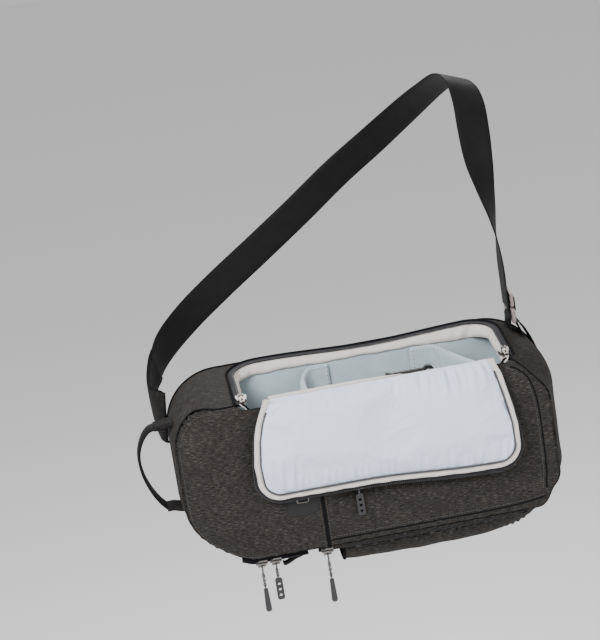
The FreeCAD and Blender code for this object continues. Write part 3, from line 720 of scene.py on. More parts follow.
class Cloth(Enum):
    """The finishes of this bag, each made once."""

    SHELL = HeatherCloth()
    YOKE = HeatherCloth("dark_heather", (0.009, 0.0082, 0.008), (0.024, 0.022, 0.021), (0.004, 0.004, 0.004))
    TRIM = PlainCloth("black_trim", (0.008, 0.008, 0.0085), (0.004, 0.004, 0.005), 0.5, 0.8, 0.0, shine=0.05)
    PATCH = PlainCloth("black_patch", (0.02, 0.02, 0.021), (0.01, 0.01, 0.011), 0.45, 0.55)
    VELOUR = PlainCloth(
        "grey_blue_velour", (0.40, 0.475, 0.505), (0.30, 0.365, 0.395), 0.7, 0.9, 0.6, 0.8, 0.35
    )
    NYLON = PlainCloth(
        "silver_blue_nylon", (0.60, 0.665, 0.78), (0.53, 0.60, 0.73), 0.45, 0.46, 0.25, 0.1, 0.1
    )
    MESH = SpacerMesh()
    BINDING = RibbedTape("pale_binding", (0.56, 0.52, 0.495), (0.42, 0.385, 0.365), 1.0, 0.85, 0.3, "X", 0.6)
    ZIP_TAPE = RibbedTape(
        "zip_tape", (0.009, 0.009, 0.01), (0.004, 0.004, 0.005), 1.1, 0.75, 0.25, shine=0.12
    )
    ZIP_COIL = Moulded("zip_coil", (0.012, 0.012, 0.014), 0.32)
    WEBBING = RibbedTape(
        "seat_belt_webbing", (0.0095, 0.009, 0.0095), (0.004, 0.004, 0.004), 1.6, 0.55, 0.14, "Y", 0.05, 0.09
    )
    # painted shade: the dark cord that stands in for the shadow in the gap at the flap's binding
    THREAD = Moulded("painted_gap_shade", (0.03, 0.03, 0.032), 0.6)
    PALE_THREAD = Moulded("pale_thread", (0.62, 0.66, 0.68), 0.6)
    GREY_THREAD = Moulded("grey_thread", (0.052, 0.047, 0.044), 0.75)
    NICKEL = Moulded("dark_nickel", (0.2, 0.182, 0.172), 0.3, 1.0, 0.02, (0.5, 0.47, 0.45))
    GUNMETAL = Moulded("gunmetal", (0.15, 0.122, 0.115), 0.2, 1.0, 0.02, (0.45, 0.4, 0.38))
    GRIP = Moulded("grip_rubber", (0.016, 0.016, 0.018), 0.42, 0.0, 0.1, (0.14, 0.14, 0.15))
    CLIP = Moulded("clip_plastic", (0.013, 0.013, 0.014), 0.33, 0.0, 0.03, (0.09, 0.09, 0.09))
    CORD = BraidedCord()

    def made(self) -> Any:
        """The material, built the first time it is asked for."""
        return bpy.data.materials.get(self.value.name) or self.value.material()


# ---------- the bench
@dataclass
class Bench:
    """Turns surfaces in bag millimetres into pieces in the part's frame."""

    nodes: dict[str, Any]
    middle: Array = field(init=False)
    total: int = 0

    def __post_init__(self) -> None:
        """Finds the bag's middle from the front panel, whose lowest corner is known."""
        low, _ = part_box("front_panel")
        self.middle = np.array(low) - np.array([LEFT + FABRIC, FRONT, BOTTOM + FABRIC]) * MM

    def metres(self, points: Array) -> Array:
        """Bag millimetres to the part's frame in metres."""
        return self.middle + np.asarray(points, float) * MM

    def raw(self, name: str, surfaces: Sequence[Surface], finish: Cloth) -> Any:
        """A mesh object of one or more grids.

        Args:
            name: the piece's name.
            surfaces: its grids.
            finish: what it is made of.

        Returns:
            The object, at the origin with its place in its mesh.
        """
        verts, faces, maps, first = [], [], [], 0
        for surface in surfaces:
            flat = surface.points.reshape(-1, 3)
            quads = surface.faces(first)
            uv = surface.map_mm().reshape(-1, 2)
            verts.append(flat)
            faces.append(quads)
            maps.append(self._corner_map(surface, uv))
            first += len(flat)
        quads = np.vstack(faces)
        mesh = bpy.data.meshes.new(name)
        points = self.metres(np.vstack(verts))
        mesh.vertices.add(len(points))
        mesh.vertices.foreach_set("co", points.ravel())
        mesh.loops.add(quads.size)
        mesh.loops.foreach_set("vertex_index", quads.ravel())
        mesh.polygons.add(len(quads))
        mesh.polygons.foreach_set("loop_start", np.arange(0, quads.size, 4))
        mesh.update(calc_edges=True)
        layer = mesh.uv_layers.new(name="UVMap")
        layer.data.foreach_set("uv", (np.vstack(maps) * MM).ravel())
        mesh.shade_smooth()
        mesh.validate()
        piece = bpy.data.objects.new(name, mesh)
        bpy.context.scene.collection.objects.link(piece)
        mesh.materials.append(finish.made())
        return piece

    @staticmethod
    def _corner_map(surface: Surface, uv: Array) -> Array:
        """Texture places for each face corner, carried on past a closed seam.

        Args:
            surface: the grid.
            uv: its places by vertex.

        Returns:
            Places by face corner.
        """
        rows, columns = surface.points.shape[:2]
        quads = surface.faces(0)
        corner = uv[quads]
        if surface.closed_columns:
            step = uv.reshape(rows, columns, 2)[:, -1] - uv.reshape(rows, columns, 2)[:, -2]
            last = quads[:, 0] % columns == columns - 1
            row = quads[last][:, [3, 2]] // columns
            corner[last, 3] = uv.reshape(rows, columns, 2)[row[:, 0], -1] + step[row[:, 0]]
            corner[last, 2] = uv.reshape(rows, columns, 2)[row[:, 1], -1] + step[row[:, 1]]
        return corner.reshape(-1, 2)

    def piece(
        self,
        name: str,
        surfaces: Union[Surface, Sequence[Surface]],
        finish: Cloth,
        body: str,
        stands_for: Sequence[str] = (),
        slot: Optional[str] = None,
        wall: float = 0.0,
    ) -> Any:
        """Makes a piece, gives it its wall and hangs it on its body.

        Args:
            name: the piece's name.
            surfaces: its grids.
            finish: what it is made of.
            body: the body that it moves with.
            stands_for: CAD nodes that it hides.
            slot: a material slot name, handed on to hang.
            wall: thickness added behind the surface.

        Returns:
            The object.
        """
        surfaces = [surfaces] if isinstance(surfaces, Surface) else list(surfaces)
        made = self.raw(name, surfaces, finish)
        if wall:
            self.thicken(made, wall)
        return self.hang(made, body, stands_for, slot)

    def hang(self, made: Any, body: str, stands_for: Sequence[str] = (), slot: Optional[str] = None) -> Any:
        """Rides a finished object on its body and reports it.

        Args:
            made: the object.
            body: the body that it moves with.
            stands_for: CAD nodes that it hides.
            slot: not used.

        Returns:
            The object.
        """
        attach(made, body)
        if stands_for:
            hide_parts(*stands_for)
        self.total += len(made.data.polygons)
        LOG.info("%s: %d faces on %s", made.name, len(made.data.polygons), body)
        return made

    @staticmethod
    def thicken(made: Any, wall: float) -> None:
        """Adds a wall behind the surface and keeps it in the mesh.

        Args:
            made: the object.
            wall: the thickness.
        """
        solid = made.modifiers.new("wall", "SOLIDIFY")
        solid.thickness = wall * MM
        solid.offset = -1.0
        Bench.settle(made)

    @staticmethod
    def settle(made: Any) -> None:
        """Applies every modifier of an object."""
        graph = bpy.context.evaluated_depsgraph_get()
        mesh = bpy.data.meshes.new_from_object(made.evaluated_get(graph))
        old = made.data
        made.modifiers.clear()
        made.data = mesh
        mesh.name = old.name
        bpy.data.meshes.remove(old)

    def dress(self, node: str, finish: Cloth) -> None:
        """Gives a CAD node that stays in view its finish."""
        piece = self.nodes[node]
        piece.data.materials.clear()
        piece.data.materials.append(finish.made())


def repeat_block(path: Array, x_axis: Array, y_axis: Array, size: Sequence[float], pitch: float) -> Surface:
    """Small blunt blocks in a row along a path, for teeth and stitches.

    Each is a closed ring profile of four corners, carried over four stations along the path,
    its ends drawn in to a tenth.

    Args:
        path: middle line (n, 3).
        x_axis: one direction across (n, 3) or (3,).
        y_axis: the other direction across.
        size: along, along x_axis and along y_axis, full sizes.
        pitch: distance from one to the next.

    Returns:
        One grid; rows of neighbouring blocks are joined by slivers too thin to see.
    """
    length = np.linalg.norm(np.diff(path, axis=0), axis=1).sum()
    count = max(2, int(length / pitch))
    axes = [np.broadcast_to(a, path.shape) for a in (x_axis, y_axis)]
    rows = spread(np.hstack([path, *axes]), count)
    centre, x, y = rows[:, :3], unit(rows[:, 3:6]), unit(rows[:, 6:9])
    along = tangents(centre)
    stations = np.array([-0.5, -0.42, 0.42, 0.5]) * size[0]
    scale = np.array([0.05, 1.0, 1.0, 0.05])
    corners = np.array([[-1, -1], [-1, 1], [1, 1], [1, -1]]) / 2 * np.array(size[1:])
    spots = centre[:, None] + along[:, None] * stations[None, :, None]
    off = (
        x[:, None, None] * corners[None, None, :, :1] + y[:, None, None] * corners[None, None, :, 1:]
    ) * scale[None, :, None, None]
    ring = spots[:, :, None] + off
    return Surface(ring.reshape(-1, 4, 3), closed_columns=True)


# ---------- the bag's plan
FABRIC = 1.5
LEFT, RIGHT, BOTTOM, TOP = -209.0, 213.0, -92.0, 100.0
FRONT, BACK = -59.0, 60.0
HINGE_Y, HINGE_Z = -62.0, 90.0
CLOSED, OPENED = 4.5, 264.0
RIM_LEFT, RIM_RIGHT, RIM_REAR, RIM_ROUND = -129.5, 158.0, 111.5, 28.0
TAPE_LEVEL = 2.0
HEM_Z = 84.0  # the front panel ends here, under the hinge
UNDER_DRAW = 4.5  # how much further the front seam is drawn in along the underside


@dataclass(frozen=True)
class Plan:
    """The bag's outline seen from the front, a rectangle with four round corners."""

    corners: tuple[float, float, float, float] = (66.0, 42.0, 72.0, 60.0)
    dense: int = 40

    def walk(self) -> tuple[Array, Array]:
        """Points and outward angles once round, clockwise from the middle of the top.

        Each corner is centre + r(cos a, sin a) with a falling by 90 degrees.

        Returns:
            The points and the angles.
        """
        tr, br, bl, tl = self.corners
        centres = np.array(
            [
                (RIGHT - tr, TOP - tr),
                (RIGHT - br, BOTTOM + br),
                (LEFT + bl, BOTTOM + bl),
                (LEFT + tl, TOP - tl),
            ]
        )
        start = np.radians([90.0, 0.0, -90.0, -180.0])[:, None]
        turn = start - np.linspace(0, np.pi / 2, self.dense)[None]
        radius = np.array(self.corners)[:, None]
        x = centres[:, :1] + radius * np.cos(turn)
        z = centres[:, 1:] + radius * np.sin(turn)
        points = np.stack([x.ravel(), z.ravel()], 1)
        points = np.vstack([[0.0, TOP], points, [0.0, TOP]])
        angles = np.concatenate([[np.pi / 2], turn.ravel(), [-1.5 * np.pi]])
        return points, angles

    def length(self) -> float:
        """Distance once round."""
        points, _ = self.walk()
        return float(np.linalg.norm(np.diff(points, axis=0), axis=1).sum())

    def at(self, s: Array) -> tuple[Array, Array]:
        """Places and outward normals at distances round the outline.

        Args:
            s: distances.

        Returns:
            Places and normals, both (n, 2).
        """
        points, angles = self.walk()
        far = np.concatenate([[0], np.cumsum(np.linalg.norm(np.diff(points, axis=0), axis=1))])
        s = np.mod(s, far[-1])
        xz = np.stack([np.interp(s, far, points[:, 0]), np.interp(s, far, points[:, 1])], 1)
        a = np.interp(s, far, angles)
        return xz, np.stack([np.cos(a), np.sin(a)], 1)

    def where(self, x: float, z: float) -> float:
        """Distance round the outline of the place nearest to a point.

        Args:
            x: the point's X.
            z: its Z.

        Returns:
            The distance.
        """
        s = np.linspace(0, self.length(), 4000)
        xz, _ = self.at(s)
        return float(s[np.argmin(np.hypot(xz[:, 0] - x, xz[:, 1] - z))])


PLAN = Plan()


def front_round(n: Array) -> Array:
    """How far back the front seam lies, by the outward normal: a big soft round at the crown end.

    Args:
        n: outward normals.

    Returns:
        Distance behind FRONT.
    """
    crown = ease((-n[:, 0] - 0.05) / 0.6)
    upper = ease((n[:, 1] + 0.2) / 0.9)
    return 4.0 + crown * (17.0 + 12.0 * upper)


def front_draw(n: Array) -> Array:
    """How far the front seam is drawn in from the widest outline, by the outward normal.

    Args:
        n: outward normals.

    Returns:
        Distance inwards.
    """
    base = ease((n[:, 0] - 0.05) / 0.8)
    under = ease(-n[:, 1])
    return 1.5 + base * 12.0 + under * UNDER_DRAW + base * ease(n[:, 1] / 0.8) * 2.0


def inner_offset(n: Array, y: Array, skin: float, clear: float = 5.0) -> Array:
    """Offset from the widest outline that keeps a lining inside the shell at depth y.

    Behind the front seam it is the wall's own offset less skin. In front of the seam a quarter
    round of radius r has drawn in by r - sqrt(r^2 - (r - g)^2) at g from its foremost line.

    Args:
        n: outward normals.
        y: depths.
        skin: shell and padding together.
        clear: room kept behind the front.

    Returns:
        Offsets along the normals.
    """
    r = front_round(n)[:, None] + clear
    draw = front_draw(n)[:, None]
    t = np.clip((y - FRONT - r) / (BACK - FRONT - r), 0, 1)
    g = np.clip(r - (y - FRONT - clear), 0, r - 1e-3)
    return -skin - draw * (1 - ease(t / 0.6)) - (r - np.sqrt(r * r - g * g))


def sway(x: Array, deep: Array) -> Array:
    """How much lower the soft rear edge of the hatch hangs: 4.5 mm at X 25, more with depth."""
    return 4.5 * bump(x, 25.0, 120.0) * ease(deep)


def lid_fall(y: Array) -> Array:
    """How much lower the top lies towards the front."""
    return 0.075 * (BACK - y)


def wall_point(s: Array, t: Array, swell: float = 2.5) -> Array:
    """The side wall: distance round the outline by share of the depth.

    The outline is moved along its normal by -draw(1 - ease(t/0.6)) + swell sin(pi t), and its
    upper part falls towards the front.

    Args:
        s: distances round the outline.
        t: shares of the depth.
        swell: how far the wall bellies.

    Returns:
        A grid of places.
    """
    xz, n = PLAN.at(s.ravel())
    rows = t.ravel()[None, :]
    seam = FRONT + front_round(n)[:, None]
    y = seam + (BACK - seam) * rows
    off = -front_draw(n)[:, None] * (1 - ease(rows / 0.6)) + swell * np.sin(np.pi * rows)
    x = xz[:, :1] + n[:, :1] * off
    z = xz[:, 1:] + n[:, 1:] * off - np.clip(n[:, 1:], 0, 1) * lid_fall(y)
    return np.stack([x, y, z], 2)


def seam_line(count: int = 900) -> Array:
    """The front seam once round, as places (count, 3)."""
    s = np.linspace(0, PLAN.length(), count, endpoint=False)
    return wall_point(s, np.array([0.0]))[:, 0]


def hatch_place(x: Array, far: Array, high: Array, angle: float) -> Array:
    """A place given by the hatch: along the hinge, away from it and above it, hatch turned by angle.

    Args:
        x: along the hinge.
        far: away from it.
        high: above the hatch.
        angle: the hatch's turn in degrees.

    Returns:
        Places in the bag's millimetres.
    """
    c, s = math.cos(math.radians(angle)), math.sin(math.radians(angle))
    x, far, high = np.broadcast_arrays(x, far, high)
    return np.stack([x, HINGE_Y + far * c - high * s, HINGE_Z + far * s + high * c], -1)


def rim_line(off: float, start: float, count: int) -> Array:
    """The U of the hatch's zip at a distance outside its middle line, as (x, far), left to right.

    Args:
        off: distance outside.
        start: distance of both ends from the hinge.
        count: how many places.

    Returns:
        Places (count, 2).
    """
    left, right, rear, r = RIM_LEFT - off, RIM_RIGHT + off, RIM_REAR + off, RIM_ROUND + off
    turn = np.linspace(0, np.pi / 2, 24)
    near = np.stack([left + r - r * np.cos(turn), rear - r + r * np.sin(turn)], 1)
    away = np.stack([right - r + r * np.sin(turn), rear - r + r * np.cos(turn)], 1)
    return spread(np.vstack([[left, start], near, away, [right, start]]), count)


class Fall(Enum):
    """Which way a patch of the shell faces."""

    OUT = 1
    IN = -1


# ---------- shell
@dataclass
class Shell:
    """Front panel, hoods, gusset, lip and their seams."""

    bench: Bench
    columns: int = 300
    rows: int = 110
    crown: float = 5.0
    seam: float = 1.1

    def build(self) -> None:
        """Makes every cloth panel of the outside."""
        self.front_panel()
        self.walls()
        self.piping()
        self.front_seams()
        self.topstitch()
        self.patch_and_placket()

    def front_panel(self) -> None:
        """The front panel: pairs of places on its upper and lower edge joined by rows, then crowned.

        Depth is FRONT + r - sqrt(r^2 - (r-d)^2) within r of the edge, less a crown.
        """
        upper, lower = halves(seam_line(1600), 0.02, 8.0)
        upper, lower = spread(self.notched(upper), self.columns), spread(lower, self.columns)
        v = (1 - np.cos(np.linspace(0, np.pi, self.rows))) / 2
        flat = joined(lower, upper, v)[..., [0, 2]]
        depth = self.front_depth(flat.reshape(-1, 2)).reshape(flat.shape[:2])
        points = np.stack([flat[..., 0], depth, flat[..., 1]], -1)
        surface = Surface(points, flat.copy())
        self.bench.piece(
            "front_panel_cloth", surface, Cloth.SHELL, "root", ["front_panel"], "shell_cloth", FABRIC
        )

    @staticmethod
    def notched(upper: Array) -> Array:
        """The upper edge, lowered to the hem between the hatch's corners.

        Args:
            upper: places (n, 3).

        Returns:
            The lowered edge.
        """
        x, z = upper[:, 0], upper[:, 2]
        inside = ease((x - (RIM_LEFT - 7)) / 9) * ease((RIM_RIGHT + 5 - x) / 9)
        out = upper.copy()
        out[:, 2] = z + (np.minimum(z, HEM_Z) - z) * inside
        return out

    def front_depth(self, xz: Array) -> Array:
        """Y of the front panel at places (n, 2).

        Args:
            xz: the places.

        Returns:
            Their Y.
        """
        loop = seam_line(700)
        s = np.linspace(0, PLAN.length(), 700, endpoint=False)
        _, n = PLAN.at(s)
        round_at = loop[:, 1] - FRONT
        parts = []
        for chunk in np.array_split(xz, max(1, len(xz) // CHUNK)):
            gap = np.hypot(chunk[:, None, 0] - loop[None, :, 0], chunk[:, None, 1] - loop[None, :, 2])
            near = np.argmin(gap, axis=1)
            d = gap[np.arange(len(chunk)), near]
            weight = 1.0 / (gap**2 + 60.0)
            r = (weight * round_at[None]).sum(1) / weight.sum(1)
            r = r + (round_at[near] - r) * ease(1 - d / 30)
            reach = np.clip(1 - d / np.maximum(r, 1e-3), 0, 1)
            depth = FRONT + r * (1 - np.sqrt(np.clip(1 - reach**2, 0, 1)))
            parts.append(depth - self.crowning(chunk, d))
        return np.concatenate(parts)

    def crowning(self, xz: Array, d: Array) -> Array:
        """How far the stuffed panel stands forward: less behind the flap and along the stash zip.

        Args:
            xz: the places.
            d: their distances from the edge.

        Returns:
            Distances forward.
        """
        x, z = xz[:, 0], xz[:, 1]
        full = self.crown * ease(d / 55.0)
        wrinkle = waves(x + 0.4 * z, (61.0, 37.0, 83.0), 3) * waves(z - 0.2 * x, (47.0, 71.0), 4)
        full = full + 0.9 * wrinkle * ease(d / 25.0)
        behind = ease((x - RIM_LEFT + 14) / 20) * ease((RIM_RIGHT + 14 - x) / 20) * ease((z + 34) / 12)
        allowed = np.minimum(full, 0.06 * np.clip(HEM_Z - z, 0, 200) - 0.6)
        full = full + (allowed - full) * behind
        zip_line = ease((x + 52) / 12) * ease((130 - x) / 12) * bump(z, STASH_Z, 24.0)
        return full * (1 - zip_line)

    def walls(self) -> None:
        """Hoods, lip and underside, cut open under the hatch."""
        length = PLAN.length()
        left_low, right_low = PLAN.where(LEFT, -30), PLAN.where(RIGHT, -30)
        top_left, top_right = PLAN.where(-100, TOP), PLAN.where(100, TOP)
        plans = (
            ("crown_hood_cloth", left_low, top_left, "crown_hood"),
            ("base_hood_cloth", top_right, right_low, "base_hood"),
            ("underside_cloth", right_low, left_low, "underside_gusset"),
            ("rear_lip_cloth", top_left, length + top_right, "rear_lip"),
        )
        for name, start, end, node in plans:
            count = int((end - start) / 2.2) + 2
            s = np.linspace(start, end, count)
            t = np.linspace(0, 1, 64)
            points = wall_point(s, t)
            points = points + self.slack(points)
            uv = np.stack(np.broadcast_arrays(s[:, None], points[..., 1]), -1)
            finish = Cloth.TRIM if node == "rear_lip" else Cloth.SHELL
            slot = "trim_cloth" if node == "rear_lip" else "shell_cloth"
            made = self.bench.raw(name, [Surface(points, uv)], finish)
            self.bench.thicken(made, FABRIC)
            if node != "underside_gusset":
                self.cut_hatch(made)
            self.bench.hang(made, "root", [node], slot)

    @staticmethod
    def slack(points: Array) -> Array:
        """Soft unevenness of the side wall, along Z and X.

        Args:
            points: the wall's grid.

        Returns:
            How far each place moves.
        """
        x, y, z = points[..., 0], points[..., 1], points[..., 2]
        fold = waves(x * 0.8 + y, (43.0, 67.0), 7) * waves(z + 0.3 * y, (51.0, 89.0), 8)
        calm = ease((y - FRONT - 6) / 20) * ease((BACK - y) / 16)
        dip = sway(x, (y - 5) / 45) * ease((z - 60) / 30)
        return np.stack([0.5 * fold * calm, 0 * fold, 0.45 * fold * calm - dip], -1)

    def cut_hatch(self, made: Any, deep: float = 9.0) -> None:
        """Takes the hatch's opening out of a wall, down to a depth below the hinge.

        Args:
            made: the wall.
            deep: the depth.
        """
        line = rim_line(5.5, -30.0, 160)
        low = hatch_place(line[:, 0], line[:, 1], -deep, CLOSED)
        high = hatch_place(line[:, 0], line[:, 1], 40.0, CLOSED)
        ring = self.bench.metres(np.vstack([low, high]))
        n = len(line)
        i = np.arange(n - 1)
        sides = [tuple(q) for q in np.stack([i, n + i, n + i + 1, i + 1], 1).tolist()]
        mesh = bpy.data.meshes.new("hatch_cutter")
        caps = [(n - 1, 2 * n - 1, n, 0), tuple(range(n)), tuple(range(n, 2 * n))[::-1]]
        mesh.from_pydata(ring.tolist(), [], sides + caps)
        cutter = bpy.data.objects.new("hatch_cutter", mesh)
        bpy.context.scene.collection.objects.link(cutter)
        cut = made.modifiers.new("hatch", "BOOLEAN")
        cut.operation, cut.solver, cut.object = "DIFFERENCE", "EXACT", cutter
        self.bench.settle(made)
        bpy.data.objects.remove(cutter)

    def piping(self) -> None:
        """The corded seams round the front and the back."""
        s = np.linspace(0, PLAN.length(), 900, endpoint=False)
        xz, n = PLAN.at(s)
        front = seam_line(900)
        along = front[:, 0]
        hidden = ease((along - RIM_LEFT) / 8) * ease((RIM_RIGHT - along) / 8) * (front[:, 2] > 60)
        front[:, 2] -= hidden * (front[:, 2] - (HEM_Z - 3))
        front[:, 1] += hidden * 2.2
        back = np.stack([xz[:, 0], np.full(len(s), BACK - 0.9), xz[:, 1]], 1)
        back[:, 2] -= sway(back[:, 0], np.ones(len(s))) * (back[:, 2] > 60)
        lift = np.stack([n[:, 0], 0 * s, n[:, 1]], 1)
        pieces = [
            tube(front + lift * 0.4, self.seam, 10, (0, 1, 0), True),
            tube(back + lift * 0.5, self.seam, 10, (0, 1, 0), True),
        ]
        self.bench.piece("seam_cord_cloth", pieces, Cloth.TRIM, "root", ["seam_piping"], "trim_cloth")

    def on_front(self, xz: Array, lift: float) -> Array:
        """Places on the front panel, standing forward by lift."""
        return np.stack([xz[:, 0], self.front_depth(xz) - lift, xz[:, 1]], 1)

    def front_seams(self) -> None:
        """The welt that runs down beside the base and along the foot of the front."""
        base = flowing(
            [(160, 80), (170, 74), (179, 62), (184.5, 40), (186, 8), (185.5, -37), (183, -64)], 160
        )
        foot = flowing([(181, -74), (140, -78.5), (60, -79), (-20, -79), (-62, -79)], 160)
        lines = [tube(self.on_front(line, 0.1), 0.75, 8, (0, 1, 0)) for line in (base, foot)]
        self.bench.piece("front_welts", lines, Cloth.TRIM, "root", (), "trim_cloth")

    def topstitch(self) -> None:
        """Runs of stitches beside the seams of the front."""
        runs = (
            [(157, 79), (167, 72), (176, 61), (181, 40), (182.6, 8), (182, -37), (179.5, -64)],
            [(178, -72), (140, -75), (60, -75.5), (-20, -75.5), (-57, -75.5)],
        )
        places = [flowing(run, 200) for run in runs] + [self.beside_seam(3.2)]
        rows = []
        for place in places:
            line = self.on_front(place, 0.25)
            side = unit(np.cross(tangents(line), (0, 1, 0)))
            rows.append(repeat_block(line, side, -Y_AXIS, STITCH, STITCH_PITCH))
        self.bench.piece("front_topstitch", rows, Cloth.GREY_THREAD, "root", (), "trim_cloth")

    @staticmethod
    def beside_seam(inside: float) -> Array:
        """A line round the crown end, inside the front seam by a distance along its normal.

        Args:
            inside: the distance.

        Returns:
            Places in X and Z.
        """
        s = np.linspace(PLAN.where(-120, BOTTOM), PLAN.where(-160, TOP), 300)
        _, n = PLAN.at(s)
        return wall_point(s, np.array([0.0]))[:, 0, [0, 2]] - n * inside

    def patch_and_placket(self) -> None:
        """The plain patch with its blank metal frame, and the placket beside it."""
        u, v = np.meshgrid(np.linspace(-101, -66, 24), np.linspace(-42, -13, 22), indexing="ij")
        flat = np.stack([u, v], -1)
        y = self.front_depth(flat.reshape(-1, 2)).reshape(u.shape) - 1.0
        edge = np.minimum(np.minimum(u + 101, -66 - u), np.minimum(v + 42, -13 - v))
        y = y + 0.9 * (1 - ease(edge / 1.6))
        patch = Surface(np.stack([u, y, v], -1), flat)
        self.bench.piece("blank_patch_cloth", patch, Cloth.PATCH, "root", ["blank_patch"], "patch_cloth")
        turn = oval(6.4, 4.4, 48, 4.5) + np.array([-83.0, -23.0])
        ring = self.on_front(turn, 1.6)
        rim = tube(ring, 0.75, 8, (0, 1, 0), True)
        self.bench.piece("blank_badge_frame", rim, Cloth.NICKEL, "root", (), "slider_metal")
        line = self.on_front(flowing([(-61.5, -10), (-61.5, -40), (-61.5, -87)], 90), 0.5)
        strip = band(line, X_AXIS, 3.4, 1.1, 0.25)
        self.bench.piece("placket_cloth", strip, Cloth.TRIM, "root", ["placket"], "trim_cloth")
        rows = []
        for shift in (-3.4, 3.4):
            seam = self.on_front(line[:, [0, 2]] + np.array([shift, 0.0]), 0.25)
            rows.append(repeat_block(seam, X_AXIS, -Y_AXIS, STITCH, STITCH_PITCH))
        self.bench.piece("placket_stitches", rows, Cloth.GREY_THREAD, "root", (), "trim_cloth")


# ---------- zips
@dataclass(frozen=True)
class ZipStyle:
    """Sizes of the moulded coil zip."""

    pitch: float = 2.3
    tooth: tuple[float, float, float] = (1.25, 2.3, 2.0)
    tape: float = 0.8


ZIP = ZipStyle()


def flat_tape(path: Array, side: Array, up: Array, width: float, thick: float) -> Surface:
    """A strip of tape along a line: a thin oval profile carried along it."""
    return swept(path, side, up, oval(width / 2, thick / 2, 12, 6.0))


# ---------- hatch rim
@dataclass
class Rim:
    """What stays on the bag round the hatch: tape, teeth, binding and the hinge."""

    bench: Bench
    count: int = 420

    def build(self) -> None:
        """Makes the rim's pieces."""
        self.tape()
        self.binding()
        self.hinge_roll()

    def frame_at(self, off: float, level: float, start: float) -> tuple[Array, Array, Array]:
        """Middle line, outward direction and up direction at a distance from the zip's line.

        Args:
            off: distance outside the line.
            level: height above the hatch.
            start: where both ends begin.

        Returns:
            The line and the two directions.
        """
        line = rim_line(off, start, self.count)
        wide = rim_line(off + 1.0, start, self.count)
        dips = [level - sway(l[:, 0], l[:, 1] / 95.0) for l in (line, wide)]
        path = hatch_place(line[:, 0], line[:, 1], dips[0], CLOSED)
        side = unit(hatch_place(wide[:, 0], wide[:, 1], dips[1], CLOSED) - path)
        up = unit(np.cross(side, tangents(path)))
        up = up * np.sign(up[:, 2:3])
        return path, side, up

    def tape(self) -> None:
        """The bag's half of the hatch zip."""
        path, side, up = self.frame_at(5.6, TAPE_LEVEL, 6.0)
        strip = flat_tape(path, side, up, 6.6, ZIP.tape)
        outer, outer_side, outer_up = self.frame_at(8.6, TAPE_LEVEL + 0.9, 4.0)
        welt = swept(outer, outer_side, outer_up, oval(1.5, 1.3, 12, 2.2))
        self.bench.piece("rim_zip_tape", strip, Cloth.ZIP_TAPE, "root", ["opening_zip"], "zip_tape")
        self.bench.piece("rim_welt", welt, Cloth.TRIM, "root", (), "trim_cloth")
        path, side, up = self.frame_at(1.7, TAPE_LEVEL, 7.0)
        teeth = repeat_block(path, side, up, ZIP.tooth, ZIP.pitch)
        self.bench.piece("rim_zip_teeth", teeth, Cloth.ZIP_COIL, "root", (), "zip_tape")

    def binding(self) -> None:
        """The pale tape that hems the lining: a wavy skirt hanging inside the zip."""
        line = rim_line(3.4, 5.0, self.count)
        inner = rim_line(-1.8, 5.0, self.count)
        far = np.linspace(0, 1, self.count)
        total = np.linalg.norm(np.diff(line, axis=0), axis=1).sum()
        dist = far * total
        gather = 0.5 + 2.6 * bump(line[:, 0], 138.0, 45.0) + 1.0 * bump(line[:, 0], -110.0, 40.0)
        ripple = waves(dist, (15.0, 23.0, 39.0), 21) * gather
        stations = [-130, -100, -40, 20, 70, 105, 138, 158]
        wide = np.interp(line[:, 0], stations, [12, 13, 10, 8, 9, 13, 16, 13])
        drop = wide + 1.2 * waves(dist, (71.0, 113.0, 31.0), 22)
        v = np.linspace(0, 1, 14)[None, :]
        share = ease(v * 1.15)
        x = line[:, :1] + (inner[:, :1] - line[:, :1]) * share
        d = line[:, 1:] + (inner[:, 1:] - line[:, 1:]) * share
        toward = unit(inner - line)
        swell = 1.6 * np.sin(np.pi * v) + ripple[:, None] * np.sin(np.pi * v * 0.9)
        x = x + toward[:, :1] * swell
        d = d + toward[:, 1:] * swell
        high = TAPE_LEVEL - 0.6 - drop[:, None] * v - sway(line[:, :1], line[:, 1:] / 95.0)
        points = hatch_place(x, d, high, CLOSED)
        uv = np.stack(np.broadcast_arrays(dist[:, None], 12.0 * v), -1)
        skirt = Surface(points, uv)
        self.bench.piece(
            "rim_binding_cloth", skirt, Cloth.BINDING, "root", ["opening_binding"], "binding_tape", 1.0
        )

    def hinge_roll(self) -> None:
        """The bound seam that the flap turns on, a soft roll about the hinge's axis."""
        x = np.linspace(RIM_LEFT + 22, RIM_RIGHT - 14, 160)
        far = 0 * x
        path = hatch_place(x, far, 0.0, CLOSED)
        size = 3.3 + 0.3 * waves(x, (29.0, 47.0, 18.0), 31)
        ends = ease((x - x[0]) / 9) * ease((x[-1] - x) / 9)
        roll = tube(path, 0.4 + size * np.sqrt(ends), 20, (0, 0, 1))
        self.bench.piece("hinge_roll", roll, Cloth.BINDING, "flap", (), "binding_tape")
        hem_x = np.linspace(RIM_LEFT - 2, RIM_RIGHT + 2, 160)
        v = np.linspace(0, 1, 10)[None, :]
        y = -58.6 + 2.2 * v + 0 * hem_x[:, None]
        z = HEM_Z - 6.0 + 6.5 * np.sin(v * np.pi / 2) + 0 * hem_x[:, None]
        hem = Surface(np.stack([hem_x[:, None] + 0 * v, y, z], -1))
        self.bench.piece("hinge_hem", hem, Cloth.TRIM, "root", ["hinge_spine"], "binding_tape", 1.2)


